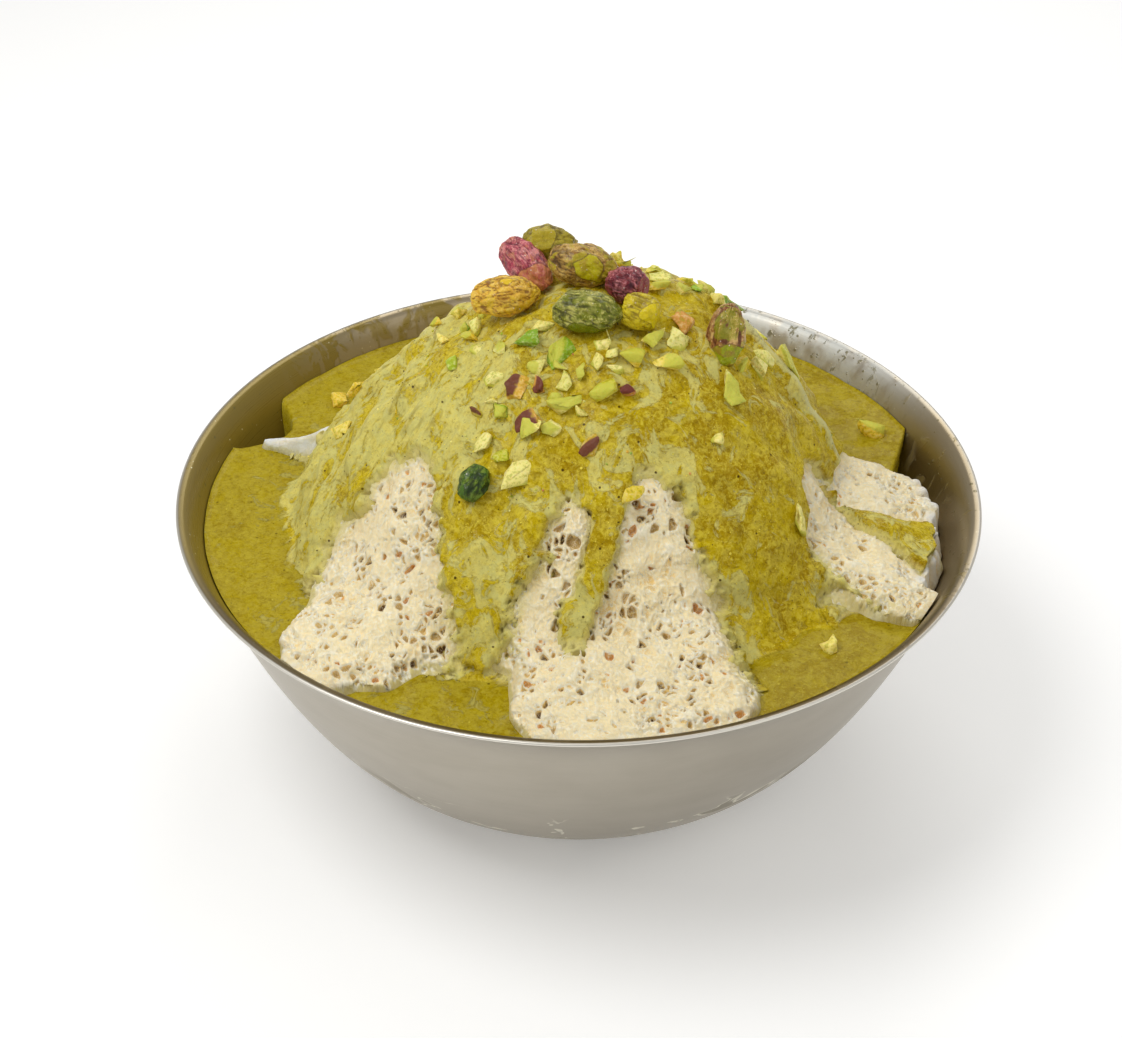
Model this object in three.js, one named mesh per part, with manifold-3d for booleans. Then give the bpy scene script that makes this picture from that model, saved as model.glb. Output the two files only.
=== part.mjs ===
// A heap of lacy shaved milk ice in a round steel bowl, with pistachio sauce poured over it.
// The sauce runs down the heap between windows of bare ice and stands as pools against the bowl wall.
// Whole pistachio kernels lie on the top, and chopped ones are stuck in the sauce round them.
// Millimetres, +Z up. The origin is the centre of the bowl's flat foot. Angles are measured round +Z
// from +X, so -90 degrees is the front of the bowl.
import * as THREE from "three";
import { mergeVertices } from "three/addons/utils/BufferGeometryUtils.js";
import Module from "manifold-3d";

const wasm = await Module();
wasm.setup();

// ---- driving dimensions ----

const RIM_RADIUS = 90; // outer edge of the lip
const BOWL_HEIGHT = 66; // foot to lip
const BODY_RADIUS = 87; // outside of the wall just under the lip
const FOOT_RADIUS = 32; // flat disc that the bowl stands on
const WALL = 0.9; // sheet thickness
const WALL_CURVE = 2.6; // power of the wall's curve: 1 is a cone, more is rounder
const LIP_HEM = 1.5; // height of the folded lip
const GAP = 0.35; // free space left between pieces that touch

const SAUCE_DEPTH = 7; // pools stand this far below the lip
const HEAP_HEIGHT = 46; // top of the ice above the lip
const HEAP_RADIUS = 58.8; // radius of the ice level with the lip
const HEAP_CURVE = 2.05; // power of the heap's dome
const HEAP_LEAN = 5.5; // the top stands this far towards +X
const MOAT_RADIUS = 66; // where the plain heap dips under the sauce
const MOAT_FOOT = 26; // plain heap meets the wall this far below the lip
const LOBE_EDGE = 5; // top edge of a spread lobe, below the lip
const LOBE_FOOT = 20; // lobe meets the wall this far below the lip
const SKIRT_START = 57; // a lobe leaves the dome at this radius

const COAT_THICKNESS = 2.5;
const WINDOW_SINK = 2.2; // how far the coat's surface dips under the ice inside a window

// ---- small helpers ----

const RAD = Math.PI / 180;
const clamp = (value, low, high) => Math.min(high, Math.max(low, value));
const mix = (a, b, share) => a + (b - a) * share;
const smooth = (value) => {
  const share = clamp(value, 0, 1);
  return share * share * (3 - 2 * share);
};
// Difference of two angles in degrees, from -180 to 180.
const turnBetween = (a, b) => ((((a - b + 180) % 360) + 360) % 360) - 180;

// A repeatable random draw from 0 to 1.
function seededRandom(seed) {
  let state = seed;
  return () => {
    state = (state * 1664525 + 1013904223) % 4294967296;
    return state / 4294967296;
  };
}

// Soft lumps, about -1 to 1, from a few crossed waves. size is the distance between lumps.
function lumps(x, y, z, size, phase = 0) {
  const k = (2 * Math.PI) / size;
  return (
    0.45 * Math.sin(k * (0.83 * x + 0.41 * z) + phase) +
    0.35 * Math.sin(k * (-0.37 * x + 0.96 * y + 0.52 * z) + 1.7 * phase + 1) +
    0.3 * Math.sin(k * (0.61 * x - 0.79 * y + 1.13 * z) + 2.3 * phase + 2)
  );
}

function solidOf(geometry) {
  const bare = geometry.clone();
  bare.deleteAttribute("normal");
  bare.deleteAttribute("uv");
  const merged = mergeVertices(bare, 1e-4);
  return new wasm.Manifold(
    new wasm.Mesh({
      numProp: 3,
      vertProperties: merged.attributes.position.array,
      triVerts: new Uint32Array(merged.index.array),
    }),
  );
}

function geometryOf(solid) {
  const mesh = solid.getMesh();
  const geometry = new THREE.BufferGeometry();
  const position = new THREE.BufferAttribute(mesh.vertProperties, 3);
  geometry.setAttribute("position", position);
  geometry.setIndex(new THREE.BufferAttribute(mesh.triVerts, 1));
  geometry.computeVertexNormals();
  return geometry;
}

const largestOf = (solid) =>
  solid.decompose().reduce((a, b) => (a.volume() > b.volume() ? a : b));

// ---- bowl ----

const BODY_TOP = BOWL_HEIGHT - LIP_HEM;

const BOWL_SEGMENTS = 44;
const WALL_STEPS = 7;

// The wall's curve, outside at depth 0 and inside at depth WALL, from the foot's edge upwards.
function wallCurve(depth) {
  const points = [];
  for (let i = 0; i <= WALL_STEPS; i++) {
    const share = i / WALL_STEPS;
    const run = BODY_RADIUS - FOOT_RADIUS;
    const rise = WALL_CURVE * BODY_TOP * Math.pow(share, WALL_CURVE - 1);
    const length = Math.hypot(run, rise);
    points.push(
      new THREE.Vector2(
        FOOT_RADIUS + run * share - (depth * rise) / length,
        BODY_TOP * Math.pow(share, WALL_CURVE) + (depth * run) / length,
      ),
    );
  }
  return points;
}

const INSIDE_WALL = wallCurve(WALL);

// Inside radius of the bowl at a height above the foot, where the faceted wall is nearest the middle.
function wallRadius(height) {
  let i = 1;
  while (i < WALL_STEPS && INSIDE_WALL[i].y < height) i++;
  const low = INSIDE_WALL[i - 1];
  const high = INSIDE_WALL[i];
  const share = (height - low.y) / (high.y - low.y);
  return mix(low.x, high.x, Math.min(share, 1)) * Math.cos(Math.PI / BOWL_SEGMENTS);
}

function bowlGeometry() {
  const outside = wallCurve(0);
  const inside = wallCurve(WALL).reverse();
  const lip = [
    new THREE.Vector2(RIM_RADIUS - 0.4, BODY_TOP + 0.2),
    new THREE.Vector2(RIM_RADIUS, BODY_TOP + LIP_HEM / 2),
    new THREE.Vector2(RIM_RADIUS - 0.5, BOWL_HEIGHT),
    new THREE.Vector2(BODY_RADIUS - 0.2, BOWL_HEIGHT - 0.3),
  ];
  const profile = [
    new THREE.Vector2(0, 0),
    ...outside,
    ...lip,
    ...inside,
    new THREE.Vector2(0, WALL),
  ];
  return new THREE.LatheGeometry(profile, BOWL_SEGMENTS).rotateX(Math.PI / 2);
}

// ---- heap of shaved ice ----

// Lobes of ice that spread from the heap to the bowl wall: middle and half width in degrees, reach
// at the middle, and how square their outline is (1 is pointed, 5 is blunt).
const LOBES = [
  { name: "front", angle: -81, spread: 20, reach: 88, square: 5 },
  { name: "front left", angle: -131, spread: 15, reach: 88, square: 1.4 },
  { name: "right", angle: -13, spread: 26, reach: 81, square: 4 },
  { name: "right corner", angle: -29, spread: 6, reach: 88, square: 4 },
  { name: "left blade", angle: 163.5, spread: 4, reach: 78, square: 2 },
  { name: "back", angle: 84, spread: 14, reach: 88, square: 4 },
];
const SCALLOP_PITCH = 6.5; // degrees between the ribbon folds on a lobe's edge
const SCALLOP_DEPTH = 1.2;

const lobeShare = (lobe, angle) =>
  Math.exp(-Math.pow(Math.abs(turnBetween(angle, lobe.angle)) / lobe.spread, lobe.square));

function reachAt(angle) {
  let reach = MOAT_RADIUS;
  for (const lobe of LOBES)
    reach = Math.max(reach, mix(MOAT_RADIUS, lobe.reach, lobeShare(lobe, angle)));
  const spread = (reach - MOAT_RADIUS) / (81 - MOAT_RADIUS);
  const folds = Math.abs(Math.sin((angle / SCALLOP_PITCH) * Math.PI));
  return reach - SCALLOP_DEPTH * clamp(spread, 0, 1) * (1 - folds);
}

// Height of the ice above the lip at a radius and an angle.
function domeHeight(radius) {
  return HEAP_HEIGHT * (1 - Math.pow(Math.abs(radius) / HEAP_RADIUS, HEAP_CURVE));
}

function heapHeight(radius, angle) {
  const dome = domeHeight(radius);
  const reach = reachAt(angle);
  const spread = smooth((reach - MOAT_RADIUS) / 12);
  if (radius < SKIRT_START - 8 || spread <= 0) return dome;
  const along = (radius - SKIRT_START) / (reach - SKIRT_START);
  const skirt = 2.5 - (2.5 + LOBE_EDGE) * Math.pow(clamp(along, 0, 1.2), 0.9);
  const lifted = Math.log(Math.exp(dome / 2) + Math.exp(skirt / 2)) * 2;
  return mix(dome, lifted, spread);
}

// Shallow relief of the ice: soft lumps and folds that run down the slope.
function iceRelief(x, y, z, angle) {
  const low = smooth((HEAP_HEIGHT - 8 - z) / 20);
  const folds = Math.sin(angle * RAD * 23 + 0.12 * z) * Math.sin(angle * RAD * 7);
  return 0.7 * lumps(x, y, z, 17) + 0.45 * lumps(x, y, z, 8, 3) + 0.8 * low * folds;
}

const HEAP_SEGMENTS = 68;
const FLOOR_RINGS = 4; // from the bowl's floor to where the heap leaves the wall
const FLOOR_CORNER = 3; // the lowest ring stays this far inside the wall's curve
const SIDE_RINGS = 4; // from there to the edge of the heap's top
const DOME_RINGS = 12; // from the edge to the very top

// A point on the heap's top, moved out along the surface by swell, a function of place.
function heapPoint(radius, angle, swell) {
  const step = 0.5;
  const height = heapHeight(radius, angle);
  const slope = (heapHeight(radius - step, angle) - height) / step;
  const length = Math.hypot(1, slope);
  const lean = HEAP_LEAN * clamp(height / HEAP_HEIGHT, 0, 1);
  const x = radius * Math.cos(angle * RAD);
  const y = radius * Math.sin(angle * RAD);
  const out = iceRelief(x, y, height, angle) + swell(angle, height, radius);
  const wide = radius + (out * slope) / length;
  const high = height + out / length;
  const limit = high < 0 ? wallRadius(BOWL_HEIGHT + high) - GAP : Infinity;
  return { wide: Math.min(wide, limit), high, lean };
}

// The whole heap, from the bowl's floor up the wall and over the top.
function heapSolid(swell, wallGap = GAP) {
  const rings = [];
  const addRing = (place) => {
    const ring = [];
    for (let i = 0; i < HEAP_SEGMENTS; i++) {
      const angle = -180 + (360 * i) / HEAP_SEGMENTS;
      const { wide, high, lean } = place(angle);
      ring.push([
        wide * Math.cos(angle * RAD) + lean,
        wide * Math.sin(angle * RAD),
        high + BOWL_HEIGHT,
      ]);
    }
    rings.push(ring);
  };
  const meeting = (angle) => {
    const spread = smooth((reachAt(angle) - MOAT_RADIUS) / 12);
    return -mix(MOAT_FOOT, LOBE_FOOT, spread);
  };
  for (let i = 1; i <= FLOOR_RINGS; i++)
    addRing((angle) => {
      const top = BOWL_HEIGHT + meeting(angle);
      const height = WALL + wallGap + (top - WALL) * Math.pow(i / FLOOR_RINGS, 2.2);
      const corner = i === 1 ? FLOOR_CORNER : 0;
      const wide = wallRadius(height) - wallGap - corner;
      return { wide, high: height - BOWL_HEIGHT, lean: 0 };
    });
  for (let i = 1; i <= SIDE_RINGS; i++)
    addRing((angle) => {
      const share = i / (SIDE_RINGS + 1);
      const edge = heapPoint(reachAt(angle), angle, swell);
      const foot = meeting(angle);
      const high = mix(foot, edge.high, share);
      const limit = wallRadius(BOWL_HEIGHT + high) - wallGap;
      const start = wallRadius(BOWL_HEIGHT + foot) - wallGap;
      const bulge = mix(start, edge.wide, share) + Math.max(0, swell(angle, -SAUCE_DEPTH, 70));
      return { wide: Math.min(bulge, limit), high, lean: 0 };
    });
  for (let i = 0; i < DOME_RINGS; i++)
    addRing((angle) => {
      const share = 1 - Math.pow(i / DOME_RINGS, 0.92);
      const point = heapPoint(reachAt(angle) * share, angle, swell);
      const limit = wallRadius(BOWL_HEIGHT + Math.min(point.high, -1)) - wallGap;
      return point.high < 0 ? { ...point, wide: Math.min(point.wide, limit) } : point;
    });
  const top = heapPoint(0.01, 0, swell);
  const bottom = [0, 0, WALL + wallGap];
  return solidOf(ringsGeometry(rings, bottom, [HEAP_LEAN, 0, BOWL_HEIGHT + top.high]));
}

// One closed solid from a stack of rings with a bottom and a top point.
function ringsGeometry(rings, bottom, top) {
  const count = rings[0].length;
  const corners = [bottom, ...rings.flat(), top];
  const faces = [];
  const at = (ring, i) => 1 + ring * count + (i % count);
  for (let i = 0; i < count; i++) {
    faces.push(0, at(0, i + 1), at(0, i));
    faces.push(corners.length - 1, at(rings.length - 1, i), at(rings.length - 1, i + 1));
    for (let ring = 0; ring + 1 < rings.length; ring++) {
      faces.push(at(ring, i), at(ring, i + 1), at(ring + 1, i + 1));
      faces.push(at(ring, i), at(ring + 1, i + 1), at(ring + 1, i));
    }
  }
  const geometry = new THREE.BufferGeometry();
  geometry.setAttribute("position", new THREE.Float32BufferAttribute(corners.flat(), 3));
  geometry.setIndex(faces);
  return geometry;
}

// ---- windows of bare ice in the sauce ----

// Each window is an arch: its middle and half width at the pool in degrees, its top above the lip,
// and how far its top leans round.
const WINDOWS = [
  { angle: -131, width: 19, top: 24, lean: -13 },
  { angle: -83, width: 21, top: 29, lean: 8 },
  { angle: -95, width: 9, top: 26, lean: 1.5 },
  { angle: -24, width: 12, top: 16, lean: 5 },
  { angle: -2, width: 20, top: 6, lean: -8 },
  { angle: 164, width: 4.5, top: 3, lean: -3 },
  { angle: 118, width: 17, top: 20, lean: 6 },
  { angle: 62, width: 20, top: 24, lean: -6 },
];
// Tongues of sauce that hang into the windows: angle at the top and at the tip, heights, half width.
const TONGUES = [
  { from: -81, to: -89.5, high: 30, low: 5, width: 4 },
  { from: 58, to: 55, high: 30, low: 6, width: 4 },
];
const LEAF = { angle: -15.5, width: 6.8, inner: 60, outer: 81 }; // sauce lying on the right lobe

// 1 inside a window of bare ice, 0 under the sauce, for an angle, height above the lip and radius.
function bareIce(angle, height, radius) {
  let bare = 0;
  const wander = Math.sin(height * 0.45 + angle * 0.2) + 0.6 * Math.sin(height * 0.9 - angle * 0.31);
  for (const window of WINDOWS) {
    const rise = (height + SAUCE_DEPTH) / (window.top + SAUCE_DEPTH);
    const middle = window.angle + window.lean * clamp(rise, 0, 1);
    const width = window.width * Math.pow(1 - Math.pow(clamp(rise, 0, 1), 1.8), 0.7);
    const inside = width - Math.abs(turnBetween(angle, middle)) + wander;
    bare = Math.max(bare, smooth(inside / 5 + 0.5) * smooth((1 - rise) * 6));
  }
  for (const tongue of TONGUES) {
    const share = (tongue.high - height) / (tongue.high - tongue.low);
    const middle = mix(tongue.from, tongue.to, clamp(share, 0, 1));
    const inside = tongue.width - Math.abs(turnBetween(angle, middle)) + wander * 0.5;
    bare *= 1 - smooth(inside / 2 + 0.5) * smooth((1 - share) * 8 + 0.5);
  }
  const across = Math.abs(turnBetween(angle, LEAF.angle)) / LEAF.width;
  const along = (radius - (LEAF.inner + LEAF.outer) / 2) / ((LEAF.outer - LEAF.inner) / 2);
  return bare * smooth((Math.hypot(across, along) - 1) * 4 + 0.5);
}

// Thickness of the sauce over the ice, below zero where the ice is bare.
function coatSwell(angle, height, radius) {
  const x = radius * Math.cos(angle * RAD);
  const y = radius * Math.sin(angle * RAD);
  const runs = 0.35 * Math.sin(angle * RAD * 17 + 0.09 * height);
  const thickness = COAT_THICKNESS + 0.5 * lumps(x, y, height, 13, 5) + runs;
  return mix(thickness, -WINDOW_SINK, bareIce(angle, height, radius));
}

// ---- pistachio kernels ----

// A kernel: a long egg with one sharper end, a seam along it and a slightly puckered skin.
function kernelGeometry([length, width, depth], cut = 1) {
  const rings = 7;
  const segments = 12;
  const stack = [];
  for (let i = 1; i < rings; i++) {
    const along = -Math.cos((Math.PI * i) / rings);
    const girth = Math.sqrt(1 - along * along) * (1 - 0.16 * along);
    const ring = [];
    for (let j = 0; j < segments; j++) {
      const turn = (2 * Math.PI * j) / segments;
      const seam = 1 - 0.1 * Math.exp(-Math.pow((turn - Math.PI / 2) / 0.3, 2));
      const pucker = 1 + 0.04 * Math.sin(5 * turn + 3 * along);
      ring.push([
        (Math.min(along, cut) * length) / 2,
        (girth * seam * pucker * width * Math.cos(turn)) / 2,
        (girth * seam * pucker * depth * Math.sin(turn)) / 2,
      ]);
    }
    stack.push(ring);
  }
  return ringsGeometry(stack, [-length / 2, 0, 0], [(cut * length) / 2, 0, 0]);
}

// Each kernel's size and middle, and its turn: heading round +Z, pitch that lifts its sharp end,
// and roll on its length. Its middle's height is above the lip.
const KERNELS = [
  { name: "kernel_gold", size: [14.5, 9, 8.4], at: [-15.5, -2.6, 47.4], turn: [6, 6, 25] },
  { name: "kernel_rose", size: [16, 8.4, 8], at: [-11.2, 8.2, 49], turn: [-52, -12, 70] },
  { name: "kernel_olive", size: [12.5, 9, 8.6], at: [-6.4, 14.8, 50.6], turn: [20, -4, 0] },
  { name: "kernel_amber", size: [15, 9.6, 9], at: [1, 2, 52.6], turn: [-14, -6, 15] },
  { name: "kernel_green", size: [14.6, 9.4, 8.6], at: [1.8, -13.4, 50], turn: [-4, -4, 10] },
  { name: "kernel_plum", size: [9.6, 8.2, 8], at: [10.4, -4.4, 51.2], turn: [-35, 5, 40], cut: 0.75 },
  { name: "kernel_yellow", size: [9.4, 8, 7.6], at: [13, -12.4, 49.2], turn: [-20, -8, 0], cut: 0.7 },
  { name: "kernel_right", size: [13.5, 8.8, 7.8], at: [30.9, -10, 42.8], turn: [75, 56, 20] },
  { name: "kernel_half", size: [8.4, 6.4, 5], at: [-21, -39, 25], turn: [55, 38, 0], cut: 0.8 },
];

function placedKernel({ size, cut, at: [x, y, z], turn: [heading, pitch, roll] }, room = 0) {
  const extents = size.map((extent) => extent + 2 * room);
  return solidOf(
    kernelGeometry(extents, cut)
      .rotateX(roll * RAD)
      .rotateY(-pitch * RAD)
      .rotateZ(heading * RAD)
      .translate(x, y, z + BOWL_HEIGHT),
  );
}

// ---- chopped pistachio ----

// Moves every corner of a geometry by a rule.
function reshape(geometry, rule) {
  const corners = geometry.attributes.position;
  for (let i = 0; i < corners.count; i++) {
    const corner = new THREE.Vector3().fromBufferAttribute(corners, i);
    corners.setXYZ(i, ...rule(corner));
  }
  return geometry;
}

// A chip: a block with its sides pushed askew, so that no two faces are square.
function chipGeometry([length, width, depth], random) {
  const skew = [random(), random(), random()].map((draw) => 0.5 * (draw - 0.5));
  return reshape(new THREE.BoxGeometry(length, width, depth), ({ x, y, z }) => [
    x * (1 + (skew[0] * y) / width) + 0.3 * y * skew[2],
    y * (1 + (skew[1] * x) / length - 0.3 * (z / depth)),
    z * (1 + (skew[2] * x) / length),
  ]);
}

// Places a chip on the sauce, half sunk, its broad face along the slope.
function chipOnCoat({ angle, radius, heading, size }, random) {
  const point = heapPoint(radius, angle, coatSwell);
  const below = heapPoint(radius + 1, angle, coatSwell);
  const slope = Math.atan2(point.high - below.high, below.wide - point.wide);
  return solidOf(
    chipGeometry(size, random)
      .rotateZ(heading * RAD)
      .rotateY(slope)
      .translate(point.wide, 0, 0)
      .rotateZ(angle * RAD)
      .translate(point.lean, 0, point.high + BOWL_HEIGHT + 0.2 * size[2]),
  );
}

// Patches of chips: middle, how far they stray round and down the slope, and how many.
const CHIP_PATCHES = [
  { name: "below the kernels", angle: -108, radius: 28, round: 26, down: 7, count: 18 },
  { name: "front of the top", angle: -72, radius: 20, round: 24, down: 4, count: 8 },
  { name: "by the right kernel", angle: 2, radius: 38, round: 9, down: 5, count: 6 },
  { name: "behind the kernels", angle: 62, radius: 14, round: 60, down: 7, count: 9 },
  { name: "left of the kernels", angle: 172, radius: 30, round: 22, down: 7, count: 6 },
  { name: "back", angle: 96, radius: 34, round: 38, down: 8, count: 6 },
];

// Larger chips that lie apart: angle, radius, heading and size.
const LONE_CHIPS = [
  { angle: -37, radius: 31, heading: 80, size: [8.6, 4.6, 3.2] },
  { angle: -32, radius: 17.5, heading: 15, size: [5, 4.6, 4] },
  { angle: -111, radius: 40, heading: 80, size: [8, 5.6, 3.2] },
  { angle: -34, radius: 53, heading: 70, size: [6.4, 4, 2.8] },
  { angle: -92, radius: 35, heading: 70, size: [5, 3.2, 2] },
  { angle: -80, radius: 41.5, heading: 10, size: [5, 3, 2.2] },
  { angle: -50, radius: 37, heading: 60, size: [4.6, 3.2, 2.4] },
  { angle: 169, radius: 49, heading: 20, size: [6, 4.4, 3] },
  { angle: 179, radius: 52, heading: 70, size: [4.6, 3.4, 2.6] },
  { angle: 40, radius: 48, heading: 20, size: [7, 4.4, 3] },
  { angle: 100, radius: 46, heading: 60, size: [6.4, 4.6, 3] },
];

function chips() {
  const random = seededRandom(7);
  const pieces = LONE_CHIPS.map((chip) => chipOnCoat(chip, random));
  for (const patch of CHIP_PATCHES)
    for (let i = 0; i < patch.count; i++) {
      const turn = 2.4 * i;
      const away = Math.sqrt((i + 0.5) / patch.count);
      const angle = patch.angle + patch.round * away * Math.cos(turn);
      const radius = patch.radius + patch.down * away * Math.sin(turn);
      const length = mix(3, 6.2, random());
      const size = [length, length * mix(0.5, 0.85, random()), mix(2, 3, random())];
      pieces.push(chipOnCoat({ angle, radius, heading: 360 * random(), size }, random));
    }
  return pieces;
}

// Chips that float in the pools.
const POOL_CHIPS = [
  { at: [70.5, 29], heading: 40, size: [6.6, 5.6, 4] },
  { at: [52.5, -52], heading: 50, size: [4.6, 3.6, 3] },
  { at: [-58, 42], heading: 10, size: [6, 5, 3.6] },
  { at: [-51, 50], heading: 70, size: [6, 4.4, 3.4] },
];

// ---- sauce pools ----

// Hollows against the wall where the sauce has run down: behind the right lobe, and on the left.
// Middle and half width at the wall in degrees, depth, and the radius where each one starts.
const HOLLOWS = [
  { angle: -4, width: 27, depth: 15, start: 70 },
  { angle: 158, width: 9, depth: 12, start: 75 },
];
const HOLLOW_BLEND = 5; // degrees over which the surface drops

function sauceLevel(angle, radius) {
  let level = BOWL_HEIGHT - SAUCE_DEPTH;
  for (const { angle: middle, width, depth, start } of HOLLOWS) {
    const room = width * Math.sqrt(clamp((radius - start) / (BODY_RADIUS - 1 - start), 0, 1));
    level -= depth * smooth((room - Math.abs(turnBetween(angle, middle))) / HOLLOW_BLEND);
  }
  return level;
}

// A ring of sauce against the wall, up to the level that stands in the bowl.
function poolRing() {
  const inner = 50;
  const middle = 75;
  const bottom = BOWL_HEIGHT - MOAT_FOOT + 3;
  const level = BOWL_HEIGHT - SAUCE_DEPTH;
  const steps = 3;
  const profile = [new THREE.Vector2(inner, bottom)];
  for (let i = 0; i <= steps; i++)
    profile.push(new THREE.Vector2(RIM_RADIUS, mix(bottom, level, i / steps)));
  profile.push(new THREE.Vector2(middle, level), new THREE.Vector2(inner, level));
  profile.push(profile[0].clone());
  const ring = new THREE.LatheGeometry(profile, HEAP_SEGMENTS).rotateX(Math.PI / 2);
  reshape(ring, ({ x, y, z }) => {
    const radius = Math.hypot(x, y);
    const share = (z - bottom) / (level - bottom);
    const height = mix(bottom, sauceLevel(Math.atan2(y, x) / RAD, radius), share);
    const wide = radius > middle + 1 ? wallRadius(height) - GAP : radius;
    return [(x * wide) / radius, (y * wide) / radius, height];
  });
  return solidOf(ring);
}

// ---- putting it together ----

const FINISHES = {
  steel: { color: 0xb9b6b0, roughness: 0.32, metalness: 1 },
  ice: { color: 0xf1e2c6, roughness: 0.55, metalness: 0 },
  sauce: { color: 0xa69a2e, roughness: 0.35, metalness: 0 },
  kernel: { color: 0x9a7d3c, roughness: 0.55, metalness: 0 },
};

const dessert = new THREE.Group();

function add(name, geometry, finish) {
  const mesh = new THREE.Mesh(geometry, new THREE.MeshStandardMaterial(FINISHES[finish]));
  mesh.name = name;
  dessert.add(mesh);
}

const SKIN_TOLERANCE = 0.15; // faces closer than this to one plane are merged
const ice = heapSolid(() => 0);
const ICE_ROOM = 1.3 * GAP; // free space round the ice, with some to spare for the merged faces
const iceAndGap = heapSolid(() => ICE_ROOM, 0).simplify(SKIN_TOLERANCE);

const kernels = KERNELS.map((kernel) => ({
  name: kernel.name,
  solid: placedKernel(kernel),
  room: placedKernel(kernel, 1.2 * GAP),
}));

// A kernel that presses into the ice or into an earlier kernel is trimmed a gap clear of it.
kernels.forEach((kernel, i) => {
  kernel.solid = kernel.solid.subtract(iceAndGap);
  for (const earlier of kernels.slice(0, i)) kernel.solid = kernel.solid.subtract(earlier.room);
  kernel.solid = largestOf(kernel.solid.simplify(0.02));
});

// Everything above the pools: the coat stops a gap above their level.
const abovePools = solidOf(
  new THREE.BoxGeometry(4 * RIM_RADIUS, 4 * RIM_RADIUS, 2 * BOWL_HEIGHT).translate(
    0,
    0,
    2 * BOWL_HEIGHT - SAUCE_DEPTH + GAP,
  ),
);

let coat = heapSolid(coatSwell).intersect(abovePools);
coat = wasm.Manifold.union([coat, ...chips()]);
coat = coat.subtract(iceAndGap);
for (const kernel of kernels) coat = coat.subtract(kernel.room);
coat = coat.simplify(SKIN_TOLERANCE);

// The patch of sauce that lies on the right lobe, apart from the rest.
const LEAF_SLACK = 10; // the leaf's solid may start this far inside its inner radius
const LEAF_VOLUME = 50; // solids smaller than this, in cubic millimetres, aren't the leaf
const leaf = coat
  .decompose()
  .filter((body) => body.boundingBox().min[0] > LEAF.inner - LEAF_SLACK && body.volume() > LEAF_VOLUME)
  .reduce((a, b) => (a.volume() > b.volume() ? a : b));

let pools = poolRing().subtract(iceAndGap);
const poolChips = POOL_CHIPS.map(({ at: [x, y], heading, size }) =>
  solidOf(
    chipGeometry(size, seededRandom(x + 80))
      .rotateZ(heading * RAD)
      .translate(x, y, BOWL_HEIGHT - SAUCE_DEPTH + 0.2 * size[2]),
  ),
);
pools = wasm.Manifold.union([pools, ...poolChips]).subtract(iceAndGap);

// The lobes divide the sauce into separate pools, named by where their middles lie.
const POOL_NAMES = [
  { name: "sauce_pool_left", angle: 160 },
  { name: "sauce_pool_front", angle: -108 },
  { name: "sauce_pool_right", angle: -46 },
  { name: "sauce_pool_back", angle: 42 },
];

function poolNearest(angle) {
  const middleOf = (body) => {
    const { min, max } = body.boundingBox();
    return Math.atan2(min[1] + max[1], min[0] + max[0]) / RAD;
  };
  const distance = (body) => Math.abs(turnBetween(middleOf(body), angle));
  return pools
    .decompose()
    .filter((body) => body.volume() > 200)
    .reduce((a, b) => (distance(a) < distance(b) ? a : b));
}

add("bowl", bowlGeometry(), "steel");
add("shaved_ice", geometryOf(ice), "ice");
add("sauce_coat", geometryOf(largestOf(coat)), "sauce");
add("sauce_leaf", geometryOf(leaf), "sauce");
for (const { name, angle } of POOL_NAMES) add(name, geometryOf(poolNearest(angle)), "sauce");
for (const kernel of kernels) add(kernel.name, geometryOf(kernel.solid), "kernel");

export default dessert;
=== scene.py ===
"""A bowl of shaved milk ice with pistachio sauce: the finished surfaces around the fixed frame.

Lengths in the functions below are millimetres, counted up from the bowl's lip, and are turned into
metres over the foot when a mesh is made. Angles are degrees round +Z from +X, so -90 is the front.
"""

import math
import random

import bpy
import bmesh
import numpy as np
from mathutils import Euler, Matrix, Vector


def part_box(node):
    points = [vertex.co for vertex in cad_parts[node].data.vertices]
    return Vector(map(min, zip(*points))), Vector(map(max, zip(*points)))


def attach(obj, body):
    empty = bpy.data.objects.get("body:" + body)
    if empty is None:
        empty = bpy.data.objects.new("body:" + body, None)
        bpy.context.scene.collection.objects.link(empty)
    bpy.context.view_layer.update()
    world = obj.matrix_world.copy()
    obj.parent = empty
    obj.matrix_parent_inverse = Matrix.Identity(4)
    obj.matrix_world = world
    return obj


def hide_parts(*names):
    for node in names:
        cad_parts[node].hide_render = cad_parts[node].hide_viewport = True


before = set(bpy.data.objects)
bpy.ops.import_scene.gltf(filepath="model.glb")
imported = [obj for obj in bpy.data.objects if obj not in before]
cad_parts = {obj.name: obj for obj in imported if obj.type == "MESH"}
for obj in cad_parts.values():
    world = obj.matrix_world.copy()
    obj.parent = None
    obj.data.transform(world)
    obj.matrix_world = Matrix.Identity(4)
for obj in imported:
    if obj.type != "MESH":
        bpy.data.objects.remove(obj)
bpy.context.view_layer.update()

bl_info = {
    "name": "Pistachio shaved ice bowl",
    "version": (1, 0, 0),
    "blender": (4, 5, 0),
    "location": "View3D > Sidebar > Shaved ice",
    "description": "Builds a steel bowl of lacy shaved ice with pistachio sauce and nuts",
    "category": "Add Mesh",
}

MM = 0.001
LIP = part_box("bowl")[1][2] / MM

# ---- sizes that the frame's solids are made from ----

BODY_RADIUS = 87.0
FOOT_RADIUS = 32.0
WALL = 0.9
WALL_CURVE = 2.6
LIP_HEM = 1.5
BODY_TOP = LIP - LIP_HEM
SAUCE_DEPTH = 7.0
HEAP_HEIGHT = 46.0
HEAP_RADIUS = 58.8
HEAP_CURVE = 2.05
HEAP_LEAN = 5.5
MOAT_RADIUS = 66.0
LOBE_EDGE = 5.0
SKIRT_START = 57.0
SCALLOP_PITCH = 6.5
SCALLOP_DEPTH = 1.2

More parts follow.
